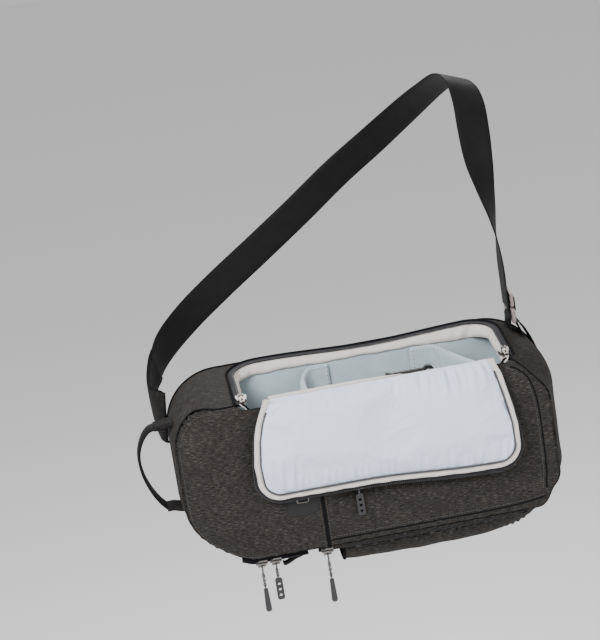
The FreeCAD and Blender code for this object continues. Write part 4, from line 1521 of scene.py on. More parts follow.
# ---------- flap
@dataclass
class Flap:
    """The hatch's flap, folded open in front of the bag."""

    bench: Bench
    edge: float = -6.7
    start: float = 7.0
    half: float = 3.0
    near: float = -4.5
    pillow_high: float = 11.5
    tuck: float = 3.0
    count: int = 420

    def build(self) -> None:
        """Makes the flap's pieces."""
        self.cover()
        self.pillow()
        self.binding()
        self.zip()

    def shaped(self, x: Array, far: Array) -> Array:
        """X with the soft edges drawn in near the hinge and flared lower down, nothing in the middle.

        Args:
            x: places along the hinge.
            far: away from it.

        Returns:
            The new X.
        """
        stations = [-8, 0, 10, 22, 40, 64, 90, 112]
        left = np.interp(far, stations, [20, 17, 11, 5, -1, -5, -4, -1])
        right = np.interp(far, stations, [12, 9, 5, 2, -2, -6, -6, -2])
        middle = (RIM_LEFT + RIM_RIGHT) / 2
        share = (x - middle) / ((RIM_RIGHT - RIM_LEFT) / 2)
        amount = np.abs(share) ** 1.5 * np.sign(share)
        return x - np.where(share < 0, amount * left, amount * right)

    @staticmethod
    def droop(x: Array, far: Array) -> Array:
        """How much further the flap's free edge hangs, more towards the base."""
        return (1.5 + 8.0 * ease((x + 30.0) / 160.0)) * np.clip(far / 105.0, 0, 1.2) ** 2

    def sag(self, x: Array, far: Array) -> Array:
        """The flap's own bend: it curls away from the bag in the middle and wanders a little."""
        curl = 3.0 * bump(far, 60.0, 62.0) + 5.0 * ease((x - 20.0) / 130.0) * ease(far / 90.0)
        return -curl - 0.8 * waves(x, (151.0, 97.0), 41) * ease(far / 50.0)

    def spot(self, x: Array, far: Array, high: Array) -> Array:
        """A place on the open flap."""
        return hatch_place(
            self.shaped(x, far), far + self.droop(x, far), high + self.sag(x, far), OPENED
        )

    def field(self, off: float, start: float, nx: int, nd: int) -> tuple[Array, Array]:
        """A grid over the inside of the U: columns run from the hinge to the far edge.

        Args:
            off: distance outside the zip's line.
            start: first distance from the hinge.
            nx: columns.
            nd: rows.

        Returns:
            X and distance from the hinge.
        """
        left, right, rear, r = RIM_LEFT - off, RIM_RIGHT + off, RIM_REAR + off, RIM_ROUND + off
        v = np.linspace(0, 1, nd)[None, :]
        far = start + (rear - start) * v
        over = np.clip(far - (rear - r), 0, r)
        inset = r - np.sqrt(np.clip(r * r - over * over, 0, None))
        u = np.linspace(0, 1, nx)[:, None]
        x = (left + inset) * (1 - u) + (right - inset) * u
        return x, np.broadcast_to(far, x.shape)

    def cover(self) -> None:
        """The outer cloth and the padding under it."""
        x, far = self.field(self.edge, self.start, 140, 60)
        v = np.linspace(0, 1, 60)[None, :]
        u = np.linspace(0, 1, 140)[:, None]
        soft = ease(np.minimum(u, 1 - u) * 14) * ease((1 - v) * 8)
        outer = self.spot(x, far, self.half - 0.8 * (1 - soft))
        uv = np.stack([x, far], -1)
        cloth = Surface(outer, uv)
        self.bench.piece(
            "flap_cover_cloth", cloth, Cloth.SHELL, "flap", ["flap_cover", "flap_foam"], "shell_cloth", 4.5
        )

    def pillow(self) -> None:
        """The stuffed lining: a closed cushion blown up over its held back, so that it puckers.

        The front's height is (1 - (2u-1)^10)^0.5 (1 - (2v-1)^6)^0.5 of the full height, with
        short ripples along the seam; the back is the same grid with no height.
        """
        nx, nd = 170, 72
        x, far = self.field(self.edge - 5.0, self.near, nx, nd)
        u = np.linspace(0, 1, nx)[:, None]
        v = np.linspace(0, 1, nd)[None, :]
        rise = (1 - (2 * u - 1) ** 10) ** 0.5 * (1 - (2 * v - 1) ** 6) ** 0.5
        level = -self.half + 1.6 - 1.6 * v
        front = level - self.pillow_high * rise * (1.0 - 0.2 * v) - self.puckers(x, u, v)
        rows = np.concatenate([self.spot(x, far, front), self.spot(x, far, level)[:, -2:0:-1]], axis=1)
        flat = np.stack([x, far], -1)
        uv = np.concatenate([flat, flat[:, -2:0:-1]], axis=1)
        sheet = Surface(rows[:, ::-1], uv[:, ::-1], closed_columns=True)
        made = self.bench.raw("flap_pillow", [sheet], Cloth.NYLON)
        index = np.arange(rows.shape[0] * rows.shape[1]).reshape(rows.shape[:2])
        loose = index[:, ::-1][1:-1, 1 : nd - 1]
        Puff(pressure=3.5, frames=20, spare=0.02, cap=4.5).blow(made, np.setdiff1d(index, loose))
        smooth = made.modifiers.new("fine", "SUBSURF")
        smooth.levels = smooth.render_levels = 1
        Bench.settle(made)
        made.data.shade_smooth()
        self.bench.hang(made, "flap", ["flap_lining"], "flap_nylon")
        anchor = self.bench.metres(hatch_place(np.array(0.0), np.array(50.0), np.array(-3.0), OPENED))
        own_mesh(made)
        x = np.linspace(RIM_LEFT + 11, 44.0, 120)
        wander = 0.5 * waves(x, (23.0, 41.0), 43)
        edge = self.spot(x, np.full(120, self.near - 0.3), np.full(120, -0.6) + wander)
        trim = tube(edge, 1.9 * np.sqrt(ease((x[-1] - x) / 60.0)) + 0.3, 12, (0, 0, 1))
        self.bench.piece("flap_fold_binding", trim, Cloth.BINDING, "flap", (), "binding_tape")

    @staticmethod
    def puckers(x: Array, u: Array, v: Array) -> Array:
        """Small folds that run in from the seams: along the free edge, and at two corners.

        Args:
            x: places along the hinge.
            u: share of the width.
            v: share of the depth.

        Returns:
            Heights of the folds.
        """
        free = bump(v, 0.93, 0.16) * (0.45 + 0.8 * bump(x, -50.0, 90.0))
        corner = bump(v, 0.8, 0.3) * bump(x, -100.0, 38.0) + bump(v, 0.1, 0.24) * bump(x, 95.0, 70.0)
        short = waves(x + 4 * v, (9.0, 13.5, 7.0), 44)
        long = waves(x + 16 * v, (16.0, 11.0), 45)
        inside = ease(np.minimum(u, 1 - u) * 30) * ease(np.minimum(v, 1 - v) * 24)
        return (2.0 * short * free + 2.6 * long * corner) * inside

    def edge_path(self, off: float, start: float) -> tuple[Array, Array]:
        """The flap's own edge line as x and distance from the hinge."""
        line = rim_line(off, start, self.count)
        return line[:, 0], line[:, 1]

    def binding(self) -> None:
        """The pale tape folded over the flap's edge, and a dark cord inside it that paints the shadow in the
        gap.
        """
        x, far = self.edge_path(self.edge - 2.3, self.near + 1.0)
        dist = np.linspace(0, 1, self.count) * 460.0
        wander = 0.7 * waves(dist, (31.0, 53.0, 19.0), 51)
        path = self.spot(x, far, -0.6 + wander)
        ox, ofar = self.edge_path(self.edge - 1.3, self.near + 1.0)
        side = unit(self.spot(ox, ofar, -0.6 + wander) - path)
        up = unit(np.cross(side, tangents(path)))
        half = 4.0 + 0.4 * waves(dist, (41.0, 27.0, 17.0), 52)
        shape = oval(1.0, 1.0, 20, 2.8)[None] * np.stack([half, np.full_like(half, 3.9)], 1)[:, None]
        tape = swept(path, side, up, shape)
        self.bench.piece("flap_binding_cloth", tape, Cloth.BINDING, "flap", ["flap_binding"], "binding_tape")
        # painted shade: a dark cord in the gap between the binding and the pillow, standing in for the shadow
        # there
        x, far = self.edge_path(self.edge - 5.4, self.start + 2.0)
        seam = tube(self.spot(x, far, -self.half - 2.6 + wander * 0.5), 0.95, 8, (0, 1, 0.2))
        self.bench.piece("flap_gap_shadow_cord", seam, Cloth.THREAD, "flap", (), "zip_tape")

    def tucked(self, off: float, start: float) -> tuple[Array, Array]:
        """An edge line that is drawn in behind the binding except along the free edge.

        Args:
            off: distance outside the zip's line.
            start: where both ends begin.

        Returns:
            X and distance from the hinge.
        """
        x, far = self.edge_path(off, start)
        near_x, near_far = self.edge_path(off - self.tuck, start)
        open_edge = ease((far - 55.0) / 45.0)
        return near_x + (x - near_x) * open_edge, near_far + (far - near_far) * open_edge

    def zip(self) -> None:
        """The flap's half of the zip."""
        past = 26.0
        x, far = self.tucked(-3.9, past)
        path = self.spot(x, far, TAPE_LEVEL)
        ox, ofar = self.tucked(-2.9, past)
        side = unit(self.spot(ox, ofar, TAPE_LEVEL) - path)
        up = unit(np.cross(side, tangents(path)))
        strip = flat_tape(path, side, up, 5.0, ZIP.tape)
        self.bench.piece("flap_zip_tape", strip, Cloth.ZIP_TAPE, "flap", ["flap_zip"], "zip_tape")
        x, far = self.tucked(-1.7, past)
        teeth = repeat_block(self.spot(x, far, TAPE_LEVEL), side, up, (1.25, 2.0, 2.0), ZIP.pitch)
        self.bench.piece("flap_zip_teeth", teeth, Cloth.ZIP_COIL, "flap", (), "zip_tape")


@dataclass(frozen=True)
class Puff:
    """Blows a sheet up like stuffed cloth, held along its edge."""

    pressure: float = 4.0
    frames: int = 20
    spare: float = 0.03  # how much more cloth there is than the outline needs
    cap: float = 6.0

    def blow(self, made: Any, held: Array) -> None:
        """Runs the cloth and keeps the result in the mesh.

        Args:
            made: a closed mesh.
            held: numbers of the vertices that stay where they are.
        """
        mesh = made.data
        rest = np.zeros(len(mesh.vertices) * 3)
        mesh.vertices.foreach_get("co", rest)
        rest = rest.reshape(-1, 3)
        group = made.vertex_groups.new(name="held")
        group.add(held.tolist(), 1.0, "REPLACE")
        cloth = made.modifiers.new("cloth", "CLOTH")
        settings = {
            "quality": 5,
            "mass": 0.2,
            "tension_stiffness": 25.0,
            "compression_stiffness": 25.0,
            "shear_stiffness": 8.0,
            "bending_stiffness": 0.15,
            "use_pressure": True,
            "uniform_pressure_force": self.pressure,
            "shrink_min": -self.spare,
            "vertex_group_mass": group.name,
        }
        for key, value in settings.items():
            setattr(cloth.settings, key, value)
        cloth.settings.effector_weights.gravity = 0.0
        cloth.collision_settings.use_collision = False
        cloth.point_cache.frame_start = 1
        cloth.point_cache.frame_end = self.frames
        scene = bpy.context.scene
        for step in range(1, self.frames + 1):
            scene.frame_set(step)
        graph = bpy.context.evaluated_depsgraph_get()
        blown = made.evaluated_get(graph).to_mesh()
        now = np.zeros(len(rest) * 3)
        blown.vertices.foreach_get("co", now)
        made.evaluated_get(graph).to_mesh_clear()
        made.modifiers.clear()
        move = now.reshape(-1, 3) - rest
        far = np.linalg.norm(move, axis=1, keepdims=True)
        limit = self.cap * MM
        move *= np.where(far > limit, limit / np.maximum(far, 1e-9), 1.0)
        mesh.vertices.foreach_set("co", (rest + move).ravel())
        mesh.update()
        made.vertex_groups.clear()
        scene.frame_set(1)
        LOG.info("%s puffed by up to %.1f mm", made.name, float(far.max()) / MM)


# ---------- inside
@dataclass
class Inside:
    """The velour tub, its dividers, and the tether."""

    bench: Bench
    skin: float = 8.5
    front: float = -43.0
    back: float = 49.4

    def build(self) -> None:
        """Makes the lining, the dividers and dresses the tether."""
        self.tub()
        self.dividers()
        self.tether()

    def tub(self) -> None:
        """The side wall of the lining, and its front and back faces."""
        s = np.linspace(0, PLAN.length(), 420)
        t = np.linspace(0, 1, 30)[None, :]
        xz, n = PLAN.at(s)
        y = self.front + (self.back - self.front) * t + 0 * s[:, None]
        puff = 1.6 * np.sin(np.pi * t) * (0.6 + 0.4 * waves(s, (83.0, 57.0), 61)[:, None])
        off = inner_offset(n, y, self.skin) - puff
        x = xz[:, :1] + n[:, :1] * off
        z = xz[:, 1:] + n[:, 1:] * off - np.clip(n[:, 1:], 0, 1) * lid_fall(y)
        uv = np.stack(np.broadcast_arrays(s[:, None], y), -1)
        ring = Surface(np.stack([x, y, z], -1), uv).flipped()
        made = self.bench.raw("lining_wall", [ring], Cloth.VELOUR)
        self.bench.thicken(made, 1.2)
        Shell(self.bench).cut_hatch(made, 30.0)
        stands = ["lining_tub", "crown_padding", "base_padding", "floor_padding"]
        self.bench.hang(made, "root", stands, "velour")
        self.face("lining_front", self.front, Fall.IN, ["front_padding", "pocket_lining"])
        self.face("lining_back", self.back, Fall.OUT, ["back_padding", "stiffening_sheet"])

    def face(self, name: str, y: float, fall: Fall, stands: Sequence[str]) -> None:
        """The front or back face of the lining: paired places of the outline joined by rows.

        Args:
            name: the piece's name.
            y: its depth.
            fall: which way it faces.
            stands: CAD nodes that it hides.
        """
        s = np.linspace(0, PLAN.length(), 900, endpoint=False)
        xz, n = PLAN.at(s)
        loop = xz + n * inner_offset(n, np.full((len(n), 1), y), self.skin - 1.0)
        upper, lower = halves(loop)
        limit = 76.0 if fall is Fall.IN else 91.0
        upper = upper.copy()
        upper[:, 1] = np.minimum(upper[:, 1], limit)
        upper, lower = spread(upper, 160), spread(lower, 160)
        v = np.linspace(0, 1, 40)
        flat = joined(lower, upper, v)
        soft = 1.4 * waves(flat[..., 0], (67.0, 113.0), 62) * np.sin(np.pi * v)[None, :]
        depth = y - fall.value * (1.0 + soft)
        points = np.stack([flat[..., 0], depth, flat[..., 1]], -1)
        surface = Surface(points, flat)
        surface = surface if fall is Fall.OUT else surface.flipped()
        self.bench.piece(name, surface, Cloth.VELOUR, "root", stands, "velour", 1.2)

    def board(self, plan: Array, thick: Array, low: Array, high: Array) -> Surface:
        """A padded board: an oval upright section carried along its plan line.

        Args:
            plan: middle line (n, 2) in X and Y.
            thick: full thickness at each place.
            low: bottom at each place.
            high: top at each place.

        Returns:
            The board's surface.
        """
        path = np.stack([plan[:, 0], plan[:, 1], (low + high) / 2], 1)
        level = path * np.array([1.0, 1.0, 0.0])
        along = tangents(level)
        side = unit(np.cross(along, (0, 0, 1)))
        shape = self.section()
        size = np.stack([thick / 2, (high - low) / 2], 1)[:, None]
        rounder = np.sqrt(1 - np.clip(np.abs(np.linspace(-1, 1, len(plan))) ** 30, 0, 0.92))
        size = size * np.stack([rounder, 0.25 * rounder + 0.75], 1)[:, None]
        return swept(path, side, Z_AXIS, shape[None] * size)

    @staticmethod
    def section() -> Array:
        """An upright section with soft top and bottom: flat sides, round only near the ends.

        Returns:
            Places (n, 2).
        """
        h = np.concatenate([np.linspace(-1, -0.9, 6), np.linspace(-0.8, 0.8, 12), np.linspace(0.9, 1, 6)])
        w = np.sqrt(np.clip(1 - np.clip((np.abs(h) - 0.88) / 0.12, 0, 1) ** 2, 0.0, 1))
        right = np.stack([w, h], 1)
        left = np.stack([-w, h], 1)[::-1]
        return np.vstack([right, left[1:-1]])

    def dividers(self) -> None:
        """Two cross dividers with sewn tabs, and the long one between them."""
        floor = BOTTOM + 9.5
        left = flowing(
            [(-56, -41), (-56, -10), (-56.5, 20), (-54, 36), (-45, 44), (-34, 45.6), (-24, 46)], 120
        )
        right = flowing(
            [(140, -41), (128, -10), (114, 26), (105, 39), (92, 44.6), (80, 46), (67, 46.2)], 120
        )
        for name, plan, node, seed in (
            ("divider_crown_velour", left, "divider_crown", 71),
            ("divider_base_velour", right, "divider_base", 72),
        ):
            share = np.linspace(0, 1, len(plan))
            tab = ease((share - 0.62) / 0.2)
            thick = 7.6 - 4.4 * tab + 0.5 * waves(share * 100, (31.0, 17.0), seed)
            low = floor + tab * (56 - floor)
            high = 79.0 + 7.5 * tab - 1.5 * bump(share, 0.45, 0.3)
            made = self.bench.piece(
                name, self.board(plan, thick, low, high), Cloth.VELOUR, node, [node], "velour"
            )
            self.tab_stitches(name + "_stitches", plan, node, high)
        x = np.linspace(-51, 103, 90)
        plan = np.stack([x, 10 + 0.8 * waves(x, (91.0,), 73)], 1)
        thick = 7.4 + 0.4 * waves(x, (43.0, 29.0), 74)
        high = 61.6 - 1.2 * bump(x, 40.0, 60.0)
        made = self.bench.piece(
            "divider_shelf_velour",
            self.board(plan, thick, np.full(90, floor), high),
            Cloth.VELOUR,
            "divider_shelf",
            ["divider_shelf"],
            "velour",
        )

    def tab_stitches(self, name: str, plan: Array, body: str, high: Array) -> None:
        """A stitched rectangle on the tab's visible face.

        Args:
            name: the piece's name.
            plan: the divider's middle line.
            body: its body.
            high: its top.
        """
        last = plan[-34:-3]
        top = high[-34:-3]
        along = tangents(np.hstack([last, 0 * last[:, :1]]))
        out = np.cross(along, (0, 0, 1))
        out = out * np.sign(-out[:, 1:2] + 1e-9)
        face = np.hstack([last, 0 * last[:, :1]]) + out * 2.0
        upper, lower = face.copy(), face.copy()
        upper[:, 2], lower[:, 2] = top - 3.2, 60.0
        post = np.repeat(face[-1:], 12, axis=0)
        post[:, 2] = np.linspace(60.0, top[-1] - 3.2, 12)
        rows = [
            repeat_block(line, -Y_AXIS, across, (2.2, 0.5, 1.0), 3.4)
            for line, across in (
                (upper, Z_AXIS),
                (lower, Z_AXIS),
                (post, X_AXIS),
            )
        ]
        self.bench.piece(name, rows, Cloth.PALE_THREAD, body, (), "velour")

    def tether(self) -> None:
        """Dresses the ribbon and the clip."""
        self.bench.dress("tether_ribbon", Cloth.TRIM)
        self.bench.dress("tether_clip", Cloth.CLIP)


# ---------- underside
@dataclass
class Underside:
    """The zips under the bag and the bellows pocket."""

    bench: Bench

    def build(self) -> None:
        """Makes the zips and the pocket."""
        self.zip("belly", -166.0, -84.0, Cloth.TRIM)
        self.zip("pocket", -74.0, 160.0, Cloth.SHELL)
        self.end_tab()
        self.stash()
        self.bottle_pocket()

    def strip(self, path: Array, side: Array, up: Array) -> tuple[Surface, Surface]:
        """Tape and teeth of a closed zip along a path.

        Args:
            path: the zip's middle line.
            side: across it.
            up: out of the cloth.

        Returns:
            The tape and the teeth.
        """
        tapes = flat_tape(path, side, up, 11.0, 0.9)
        teeth = repeat_block(path + up * 0.5, side, up, (1.1, 4.6, 1.7), 1.9)
        return tapes, teeth

    def zip(self, name: str, start: float, end: float, finish: Cloth) -> None:
        """A zip under the bag, hung from the cloth by a welt.

        Args:
            name: which pocket it closes.
            start: its end nearer the crown, along X.
            end: its other end.
            finish: what the welt is made of.
        """
        x = np.linspace(max(start, -158.0) + 1, end - 1, 120)
        z = BOTTOM - 0.4 + 4.5 * ease((-144.0 - x) / 16.0)
        path = np.stack([x, BELLY_Y + 0 * x, z], 1)
        down = -Z_AXIS
        tapes, teeth = self.strip(path, Y_AXIS, down)
        ends = np.sqrt(ease((x - x[0]) / 5.0 + 0.05) * ease((x[-1] - x) / 9.0 + 0.05))[:, None, None]
        shape = oval(5.6, 2.9, 24, 4.0)[None] * (0.35 + 0.65 * ends)
        welt = swept(path - down * 3.1, Y_AXIS, down, shape)
        self.bench.piece(f"{name}_zip_welt", welt, finish, "root", (), "trim_cloth")
        self.bench.piece(f"{name}_zip_tape", tapes, Cloth.ZIP_TAPE, "root", [f"{name}_zip"], "zip_tape")
        self.bench.piece(f"{name}_zip_teeth", teeth, Cloth.ZIP_COIL, "root", (), "zip_tape")

    def end_tab(self) -> None:
        """The little folded tab at the end of the belly zip, to hold while the zip is drawn."""
        route = flowing([(-92, -92.6), (-99, -94.4), (-106, -97.8), (-111, -99.6), (-113.5, -98.6)], 40)
        tab = band(at_depth(route, BELLY_Y), Y_AXIS, 11.0, 1.8, 0.3)
        self.bench.piece("belly_zip_end_tab", tab, Cloth.WEBBING, "root", (), "webbing")

    def stash(self) -> None:
        """The zip of the front pocket, in its valley."""
        x = np.linspace(-39, 117, 120)
        path = np.stack([x, FRONT - 0.4 + 0 * x, STASH_Z + 0 * x], 1)
        tapes, teeth = self.strip(path, Z_AXIS, -Y_AXIS)
        self.bench.piece("stash_zip_tape", tapes, Cloth.ZIP_TAPE, "root", ["stash_zip"], "zip_tape")
        self.bench.piece("stash_zip_teeth", teeth, Cloth.ZIP_COIL, "root", (), "zip_tape")

    def bottle_pocket(self) -> None:
        """The bellows pocket: a sagging bow under the bag, gathered towards the base."""
        line = flowing([(-45, 31), (20, 33.5), (95, 33), (135, 29), (160, 21), (178, 8)], 150)
        bow = flowing(
            [(-38, 0), (-36, 0.5), (-26, 0.9), (-12, 1.0), (10, 0.9), (32, 0.62), (44, 0.28), (50, 0)], 60
        )
        x, deep = line[:, :1], line[:, 1:]
        fade = np.sin(np.pi * np.linspace(0, 1, 60))[None, :]
        pleats = 2.2 * np.sin((x - 128) / 6.6 * 2 * np.pi) * bump(x, 152.0, 24.0) * fade
        slack = 0.9 * waves(x, (37.0, 59.0), 81) * fade
        y = bow[None, :, 0] + 0 * x
        lip = UNDER_DRAW * (1 - ease((y + 42.0) / 60.0))
        z = BOTTOM + lip - deep * bow[None, :, 1] + pleats + slack
        uv = np.stack(np.broadcast_arrays(x, np.linspace(0, 120, 60)[None, :]), -1)
        points = np.stack([x + 0 * y, y, z], -1)
        surface = Surface(points, uv).flipped()
        self.bench.piece(
            "bottle_pocket_cloth", surface, Cloth.SHELL, "root", ["bottle_pocket"], "stretch_cloth", 1.3
        )
        mouth = points[0] + np.array([0.6, 0.0, 0.0])
        hem = tube(spread(mouth, 90), 1.7, 10, (1, 0, 0))
        self.bench.piece("bottle_pocket_hem", hem, Cloth.TRIM, "root", (), "trim_cloth")


# ---------- pulls
@dataclass
class Pulls:
    """Sliders, their tabs and the cord pulls."""

    bench: Bench
    bar: float = -98.6
    loop: float = 2.4

    def build(self) -> None:
        """Dresses the metal and makes the braided loops."""
        for node in self.bench.nodes:
            if "_slider_" in node or node.endswith("_slider") or "hatch_tab" in node:
                self.bench.dress(node, Cloth.NICKEL)
            if node.endswith("_grip"):
                self.bench.dress(node, Cloth.GRIP)
        for name, x, drop in (
            ("belly_pull_outer", -137.0, 27.0),
            ("belly_pull_inner", -121.5, 17.0),
            ("pocket_pull", -64.0, 30.0),
        ):
            self.hanging(name, x, drop)
        self.stash()

    def hanging(self, name: str, x: float, drop: float) -> None:
        """Two twisted strands from the bail down to the grip.

        The loop opens at the bail and its legs wind round each other: their distance from the
        middle is loop (1 - t) and they turn once and a half.

        Args:
            name: the pull's body.
            x: where it hangs.
            drop: length of the cord.
        """
        t = np.linspace(0, 1, 90)
        turn = np.pi / 2 + 1.5 * 2 * np.pi * ease((t - 0.25) / 0.75)
        away = self.loop * (1 - ease(t * 2.2)) + 0.95 * ease(t * 2.2)
        leg = np.stack([away * np.cos(turn), away * np.sin(turn), -drop * t], 1)
        top = np.linspace(0, np.pi, 24)[1:-1]
        arch = np.stack([0 * top, self.loop * np.cos(top), self.loop * np.sin(top)], 1)
        other = leg * np.array([-1.0, -1.0, 1.0])
        path = np.vstack([leg[::-1], arch, other])
        path = spread(path, 200) + np.array([x, BELLY_Y, self.bar])
        braid = tube(path, 0.85, 8, (1, 0, 0.02))
        self.bench.piece(f"{name}_braid", braid, Cloth.CORD, name, [f"{name}_cord"], "pull_cord")

    def stash(self) -> None:
        """The short loop of the front pull."""
        turn = np.linspace(-0.42 * np.pi, 1.42 * np.pi, 60)
        ring = np.stack([0 * turn, 2.4 * np.cos(turn), 2.4 * np.sin(turn)], 1)
        low = np.array([[0, 0.85, -9.0]]), np.array([[0, -0.85, -9.0]])
        path = np.vstack([low[0], ring, low[1]]) + np.array([-21.5, FRONT - 6.6, STASH_Z])
        braid = tube(spread(path, 90), 0.85, 8, (1, 0, 0))
        self.bench.piece(
            "stash_pull_braid", braid, Cloth.CORD, "stash_pull", ["stash_pull_cord"], "pull_cord"
        )


# ---------- straps
STRAP_ROUTE = (
    ((180.6, 39, 141), (0, 1, 0)),
    ((180.6, 39, 165), (0, 1, 0)),
    ((180.4, 41, 190), (0.1, 1, 0)),
    ((179.5, 48, 218), (0.32, 0.94, 0)),
    ((178, 60, 246), (0.6, 0.78, 0)),
    ((177.5, 76, 276), (0.88, 0.46, -0.03)),
    ((179.5, 96, 306), (0.98, 0.18, -0.12)),
    ((181.5, 120, 333), (0.95, 0.05, -0.28)),
    ((179, 148, 350), (0.92, 0.1, -0.38)),
    ((171, 184, 350), (0.9, 0.2, -0.38)),
    ((154, 222, 331), (0.82, 0.28, -0.48)),
    ((125, 252, 303), (0.66, 0.25, -0.7)),
    ((86, 271, 271), (0.6, 0.12, -0.79)),
    ((40, 281, 238), (0.6, 0.05, -0.8)),
    ((-12, 282, 200), (0.56, 0, -0.83)),
    ((-66, 274, 165), (0.5, -0.04, -0.86)),
    ((-118, 254, 136), (0.42, -0.08, -0.9)),
    ((-163, 222, 113), (0.3, -0.1, -0.95)),
    ((-196, 182, 95), (0.18, -0.05, -0.98)),
    ((-214, 140, 80), (0.08, 0.1, -0.99)),
)
YOKE_ROUTE = (
    ((-214.2, 137.6, 79.2), (0.08, 0.1, -0.99), 19.0),
    ((-220, 110, 69), (0.04, 0.2, -0.98), 22.0),
    ((-221, 84, 61), (0.03, 0.2, -0.98), 27.0),
    ((-216.5, 64, 56), (0.02, 0.1, -0.99), 31.0),
)


@dataclass
class Straps:
    """The shoulder strap, its hardware, the yoke and the grab handle."""

    bench: Bench
    ring_x: float = 184.0
    ring_low: float = 104.5
    ring_high: float = 117.0
    bar_high: float = 129.0  # the adjuster's outer bar
    strap_y: float = 39.0
    width: float = 37.0
    wrap: float = 3.4  # radius of webbing folded round a bar

    def build(self) -> None:
        """Makes every strap and dresses the metal."""
        self.shoulder()
        self.ends()
        self.yoke()
        self.handle()
        for node in ("strap_ring", "strap_adjuster"):
            self.bench.dress(node, Cloth.GUNMETAL)

    def folded(self, turn: Array, level: float) -> Array:
        """Webbing round a bar at a level: x = ring_x + r cos a, z = level + r sin a."""
        x = self.ring_x + self.wrap * np.cos(turn)
        return np.stack([x, self.strap_y + 0 * turn, level + self.wrap * np.sin(turn)], 1)

    def shoulder(self) -> None:
        """The long run of webbing."""
        rows = np.array([p + w for p, w in STRAP_ROUTE], float)
        rows = flowing(rows, 420)
        under = np.repeat(rows[:1], 12, axis=0)
        under[:, 2] = np.linspace(self.ring_high, rows[0, 2], 12, endpoint=False)
        rows = np.vstack([under, rows])
        turn = np.linspace(np.pi, 2 * np.pi, 24)
        tail = np.array([[self.ring_x + self.wrap, self.strap_y, z] for z in np.linspace(118.5, 128.6, 8)])
        fold = np.vstack([self.folded(turn, self.ring_high), tail])[::-1]
        rows = np.vstack([np.hstack([fold, np.tile(Y_AXIS, (len(fold), 1))]), rows[1:]])
        path, across = rows[:, :3], rows[:, 3:]
        strap = band(path, across, self.width, 1.5, 0.12)
        self.bench.piece("shoulder_webbing", strap, Cloth.WEBBING, "root", ["shoulder_strap"], "webbing")

    def ends(self) -> None:
        """The sewn end on the adjuster, the keeper under the ring and its gusset."""
        turn = np.linspace(0.02 * np.pi, 0.47 * np.pi, 20)
        end = band(self.folded(turn, self.bar_high), Y_AXIS, 36.0, 1.4)
        self.bench.piece("strap_sewn_end", end, Cloth.WEBBING, "strap_adjuster", ["strap_end"], "webbing")
        turn = np.linspace(0, np.pi, 30)
        top = self.folded(turn, self.ring_low)
        near = flowing([(195, 37, 82), (190.5, 38, 92), (187.6, 39, 101), (187.4, 39, 104.4)], 20)
        away = flowing([(180.6, 39, 104.4), (180.4, 38.5, 100), (179.5, 38, 93)], 16)
        keeper = band(np.vstack([near, top[1:-1], away]), Y_AXIS, 34.0, 1.5)
        self.bench.piece("ring_keeper_webbing", keeper, Cloth.WEBBING, "root", ["ring_keeper"], "webbing")
        drape = flowing([(187, 50, 103), (197, 53, 88), (206, 56, 68), (213, 57, 46), (216, 57, 30)], 60)
        width = np.interp(np.linspace(0, 1, 60), [0, 1], [30.0, 4.0])
        gusset = band(drape, np.array([-0.1, 1.0, 0.1]), width, 1.8, 0.4)
        self.bench.piece("anchor_webbing", gusset, Cloth.WEBBING, "root", ["anchor_gusset"], "webbing")

    def yoke(self) -> None:
        """The padded end that widens into the crown, with a bound edge."""
        rows = np.array([p + w + (h,) for p, w, h in YOKE_ROUTE], float)
        sleeve = np.array([[-208.5, 153.0, 84.6, 0.12, 0.05, -0.99, 19.2]])
        rows = np.vstack([sleeve, rows])
        tail = np.array([[-209.5, 57.0, 54.0, 0.02, 0.1, -0.99, 31.0]])
        rows = flowing(np.vstack([rows, tail]), 80)
        body = band(rows[:, :3], rows[:, 3:6], rows[:, 6] * 2, 3.6, 0.8)
        self.bench.piece("strap_yoke_cloth", body, Cloth.YOKE, "root", ["strap_yoke"], "shell_cloth")
        edges = []
        for side in (-1, 1):
            line = rows[:, :3] + unit(rows[:, 3:6]) * (rows[:, 6:7] * side)
            edges.append(tube(line, 1.5, 8, (1, 0, 0)))
        self.bench.piece("strap_yoke_binding", edges, Cloth.TRIM, "root", (), "trim_cloth")

    def handle(self) -> None:
        """The grab handle of folded webbing and the cloth tabs that hold it."""
        upper = [(-225.5, 61.8), (-233, 59.5), (-240.5, 51), (-246, 38), (-247.3, 24)]
        lower = [(-245.5, 8), (-240, -9), (-232.5, -23), (-225.5, -31.6)]
        line = flowing(upper + lower, 120)
        path = at_depth(line, HANDLE_Y)
        grip = bump(np.linspace(-1, 1, 120), 0.0, 0.75)
        web = band(path, Y_AXIS, 20.0 - 5.0 * grip, 3.0, 0.5)
        self.bench.piece("grab_handle_webbing", web, Cloth.WEBBING, "grab_handle", ["grab_handle"], "webbing")
        for name, z, lean in (("upper", 62.0, 2.0), ("lower", -32.0, -3.0)):
            tab = flowing([(-204, z + lean), (-212, z + lean * 0.6), (-219, z), (-226.4, z)], 40)
            width = np.interp(np.linspace(0, 1, 40), [0, 0.6, 1], [26.0, 23.0, 21.0])
            made = band(at_depth(tab, HANDLE_Y), Y_AXIS, width, 5.2, 0.4)
            self.bench.piece(
                f"handle_tab_{name}_cloth", made, Cloth.YOKE, "root", [f"handle_tab_{name}"], "shell_cloth"
            )


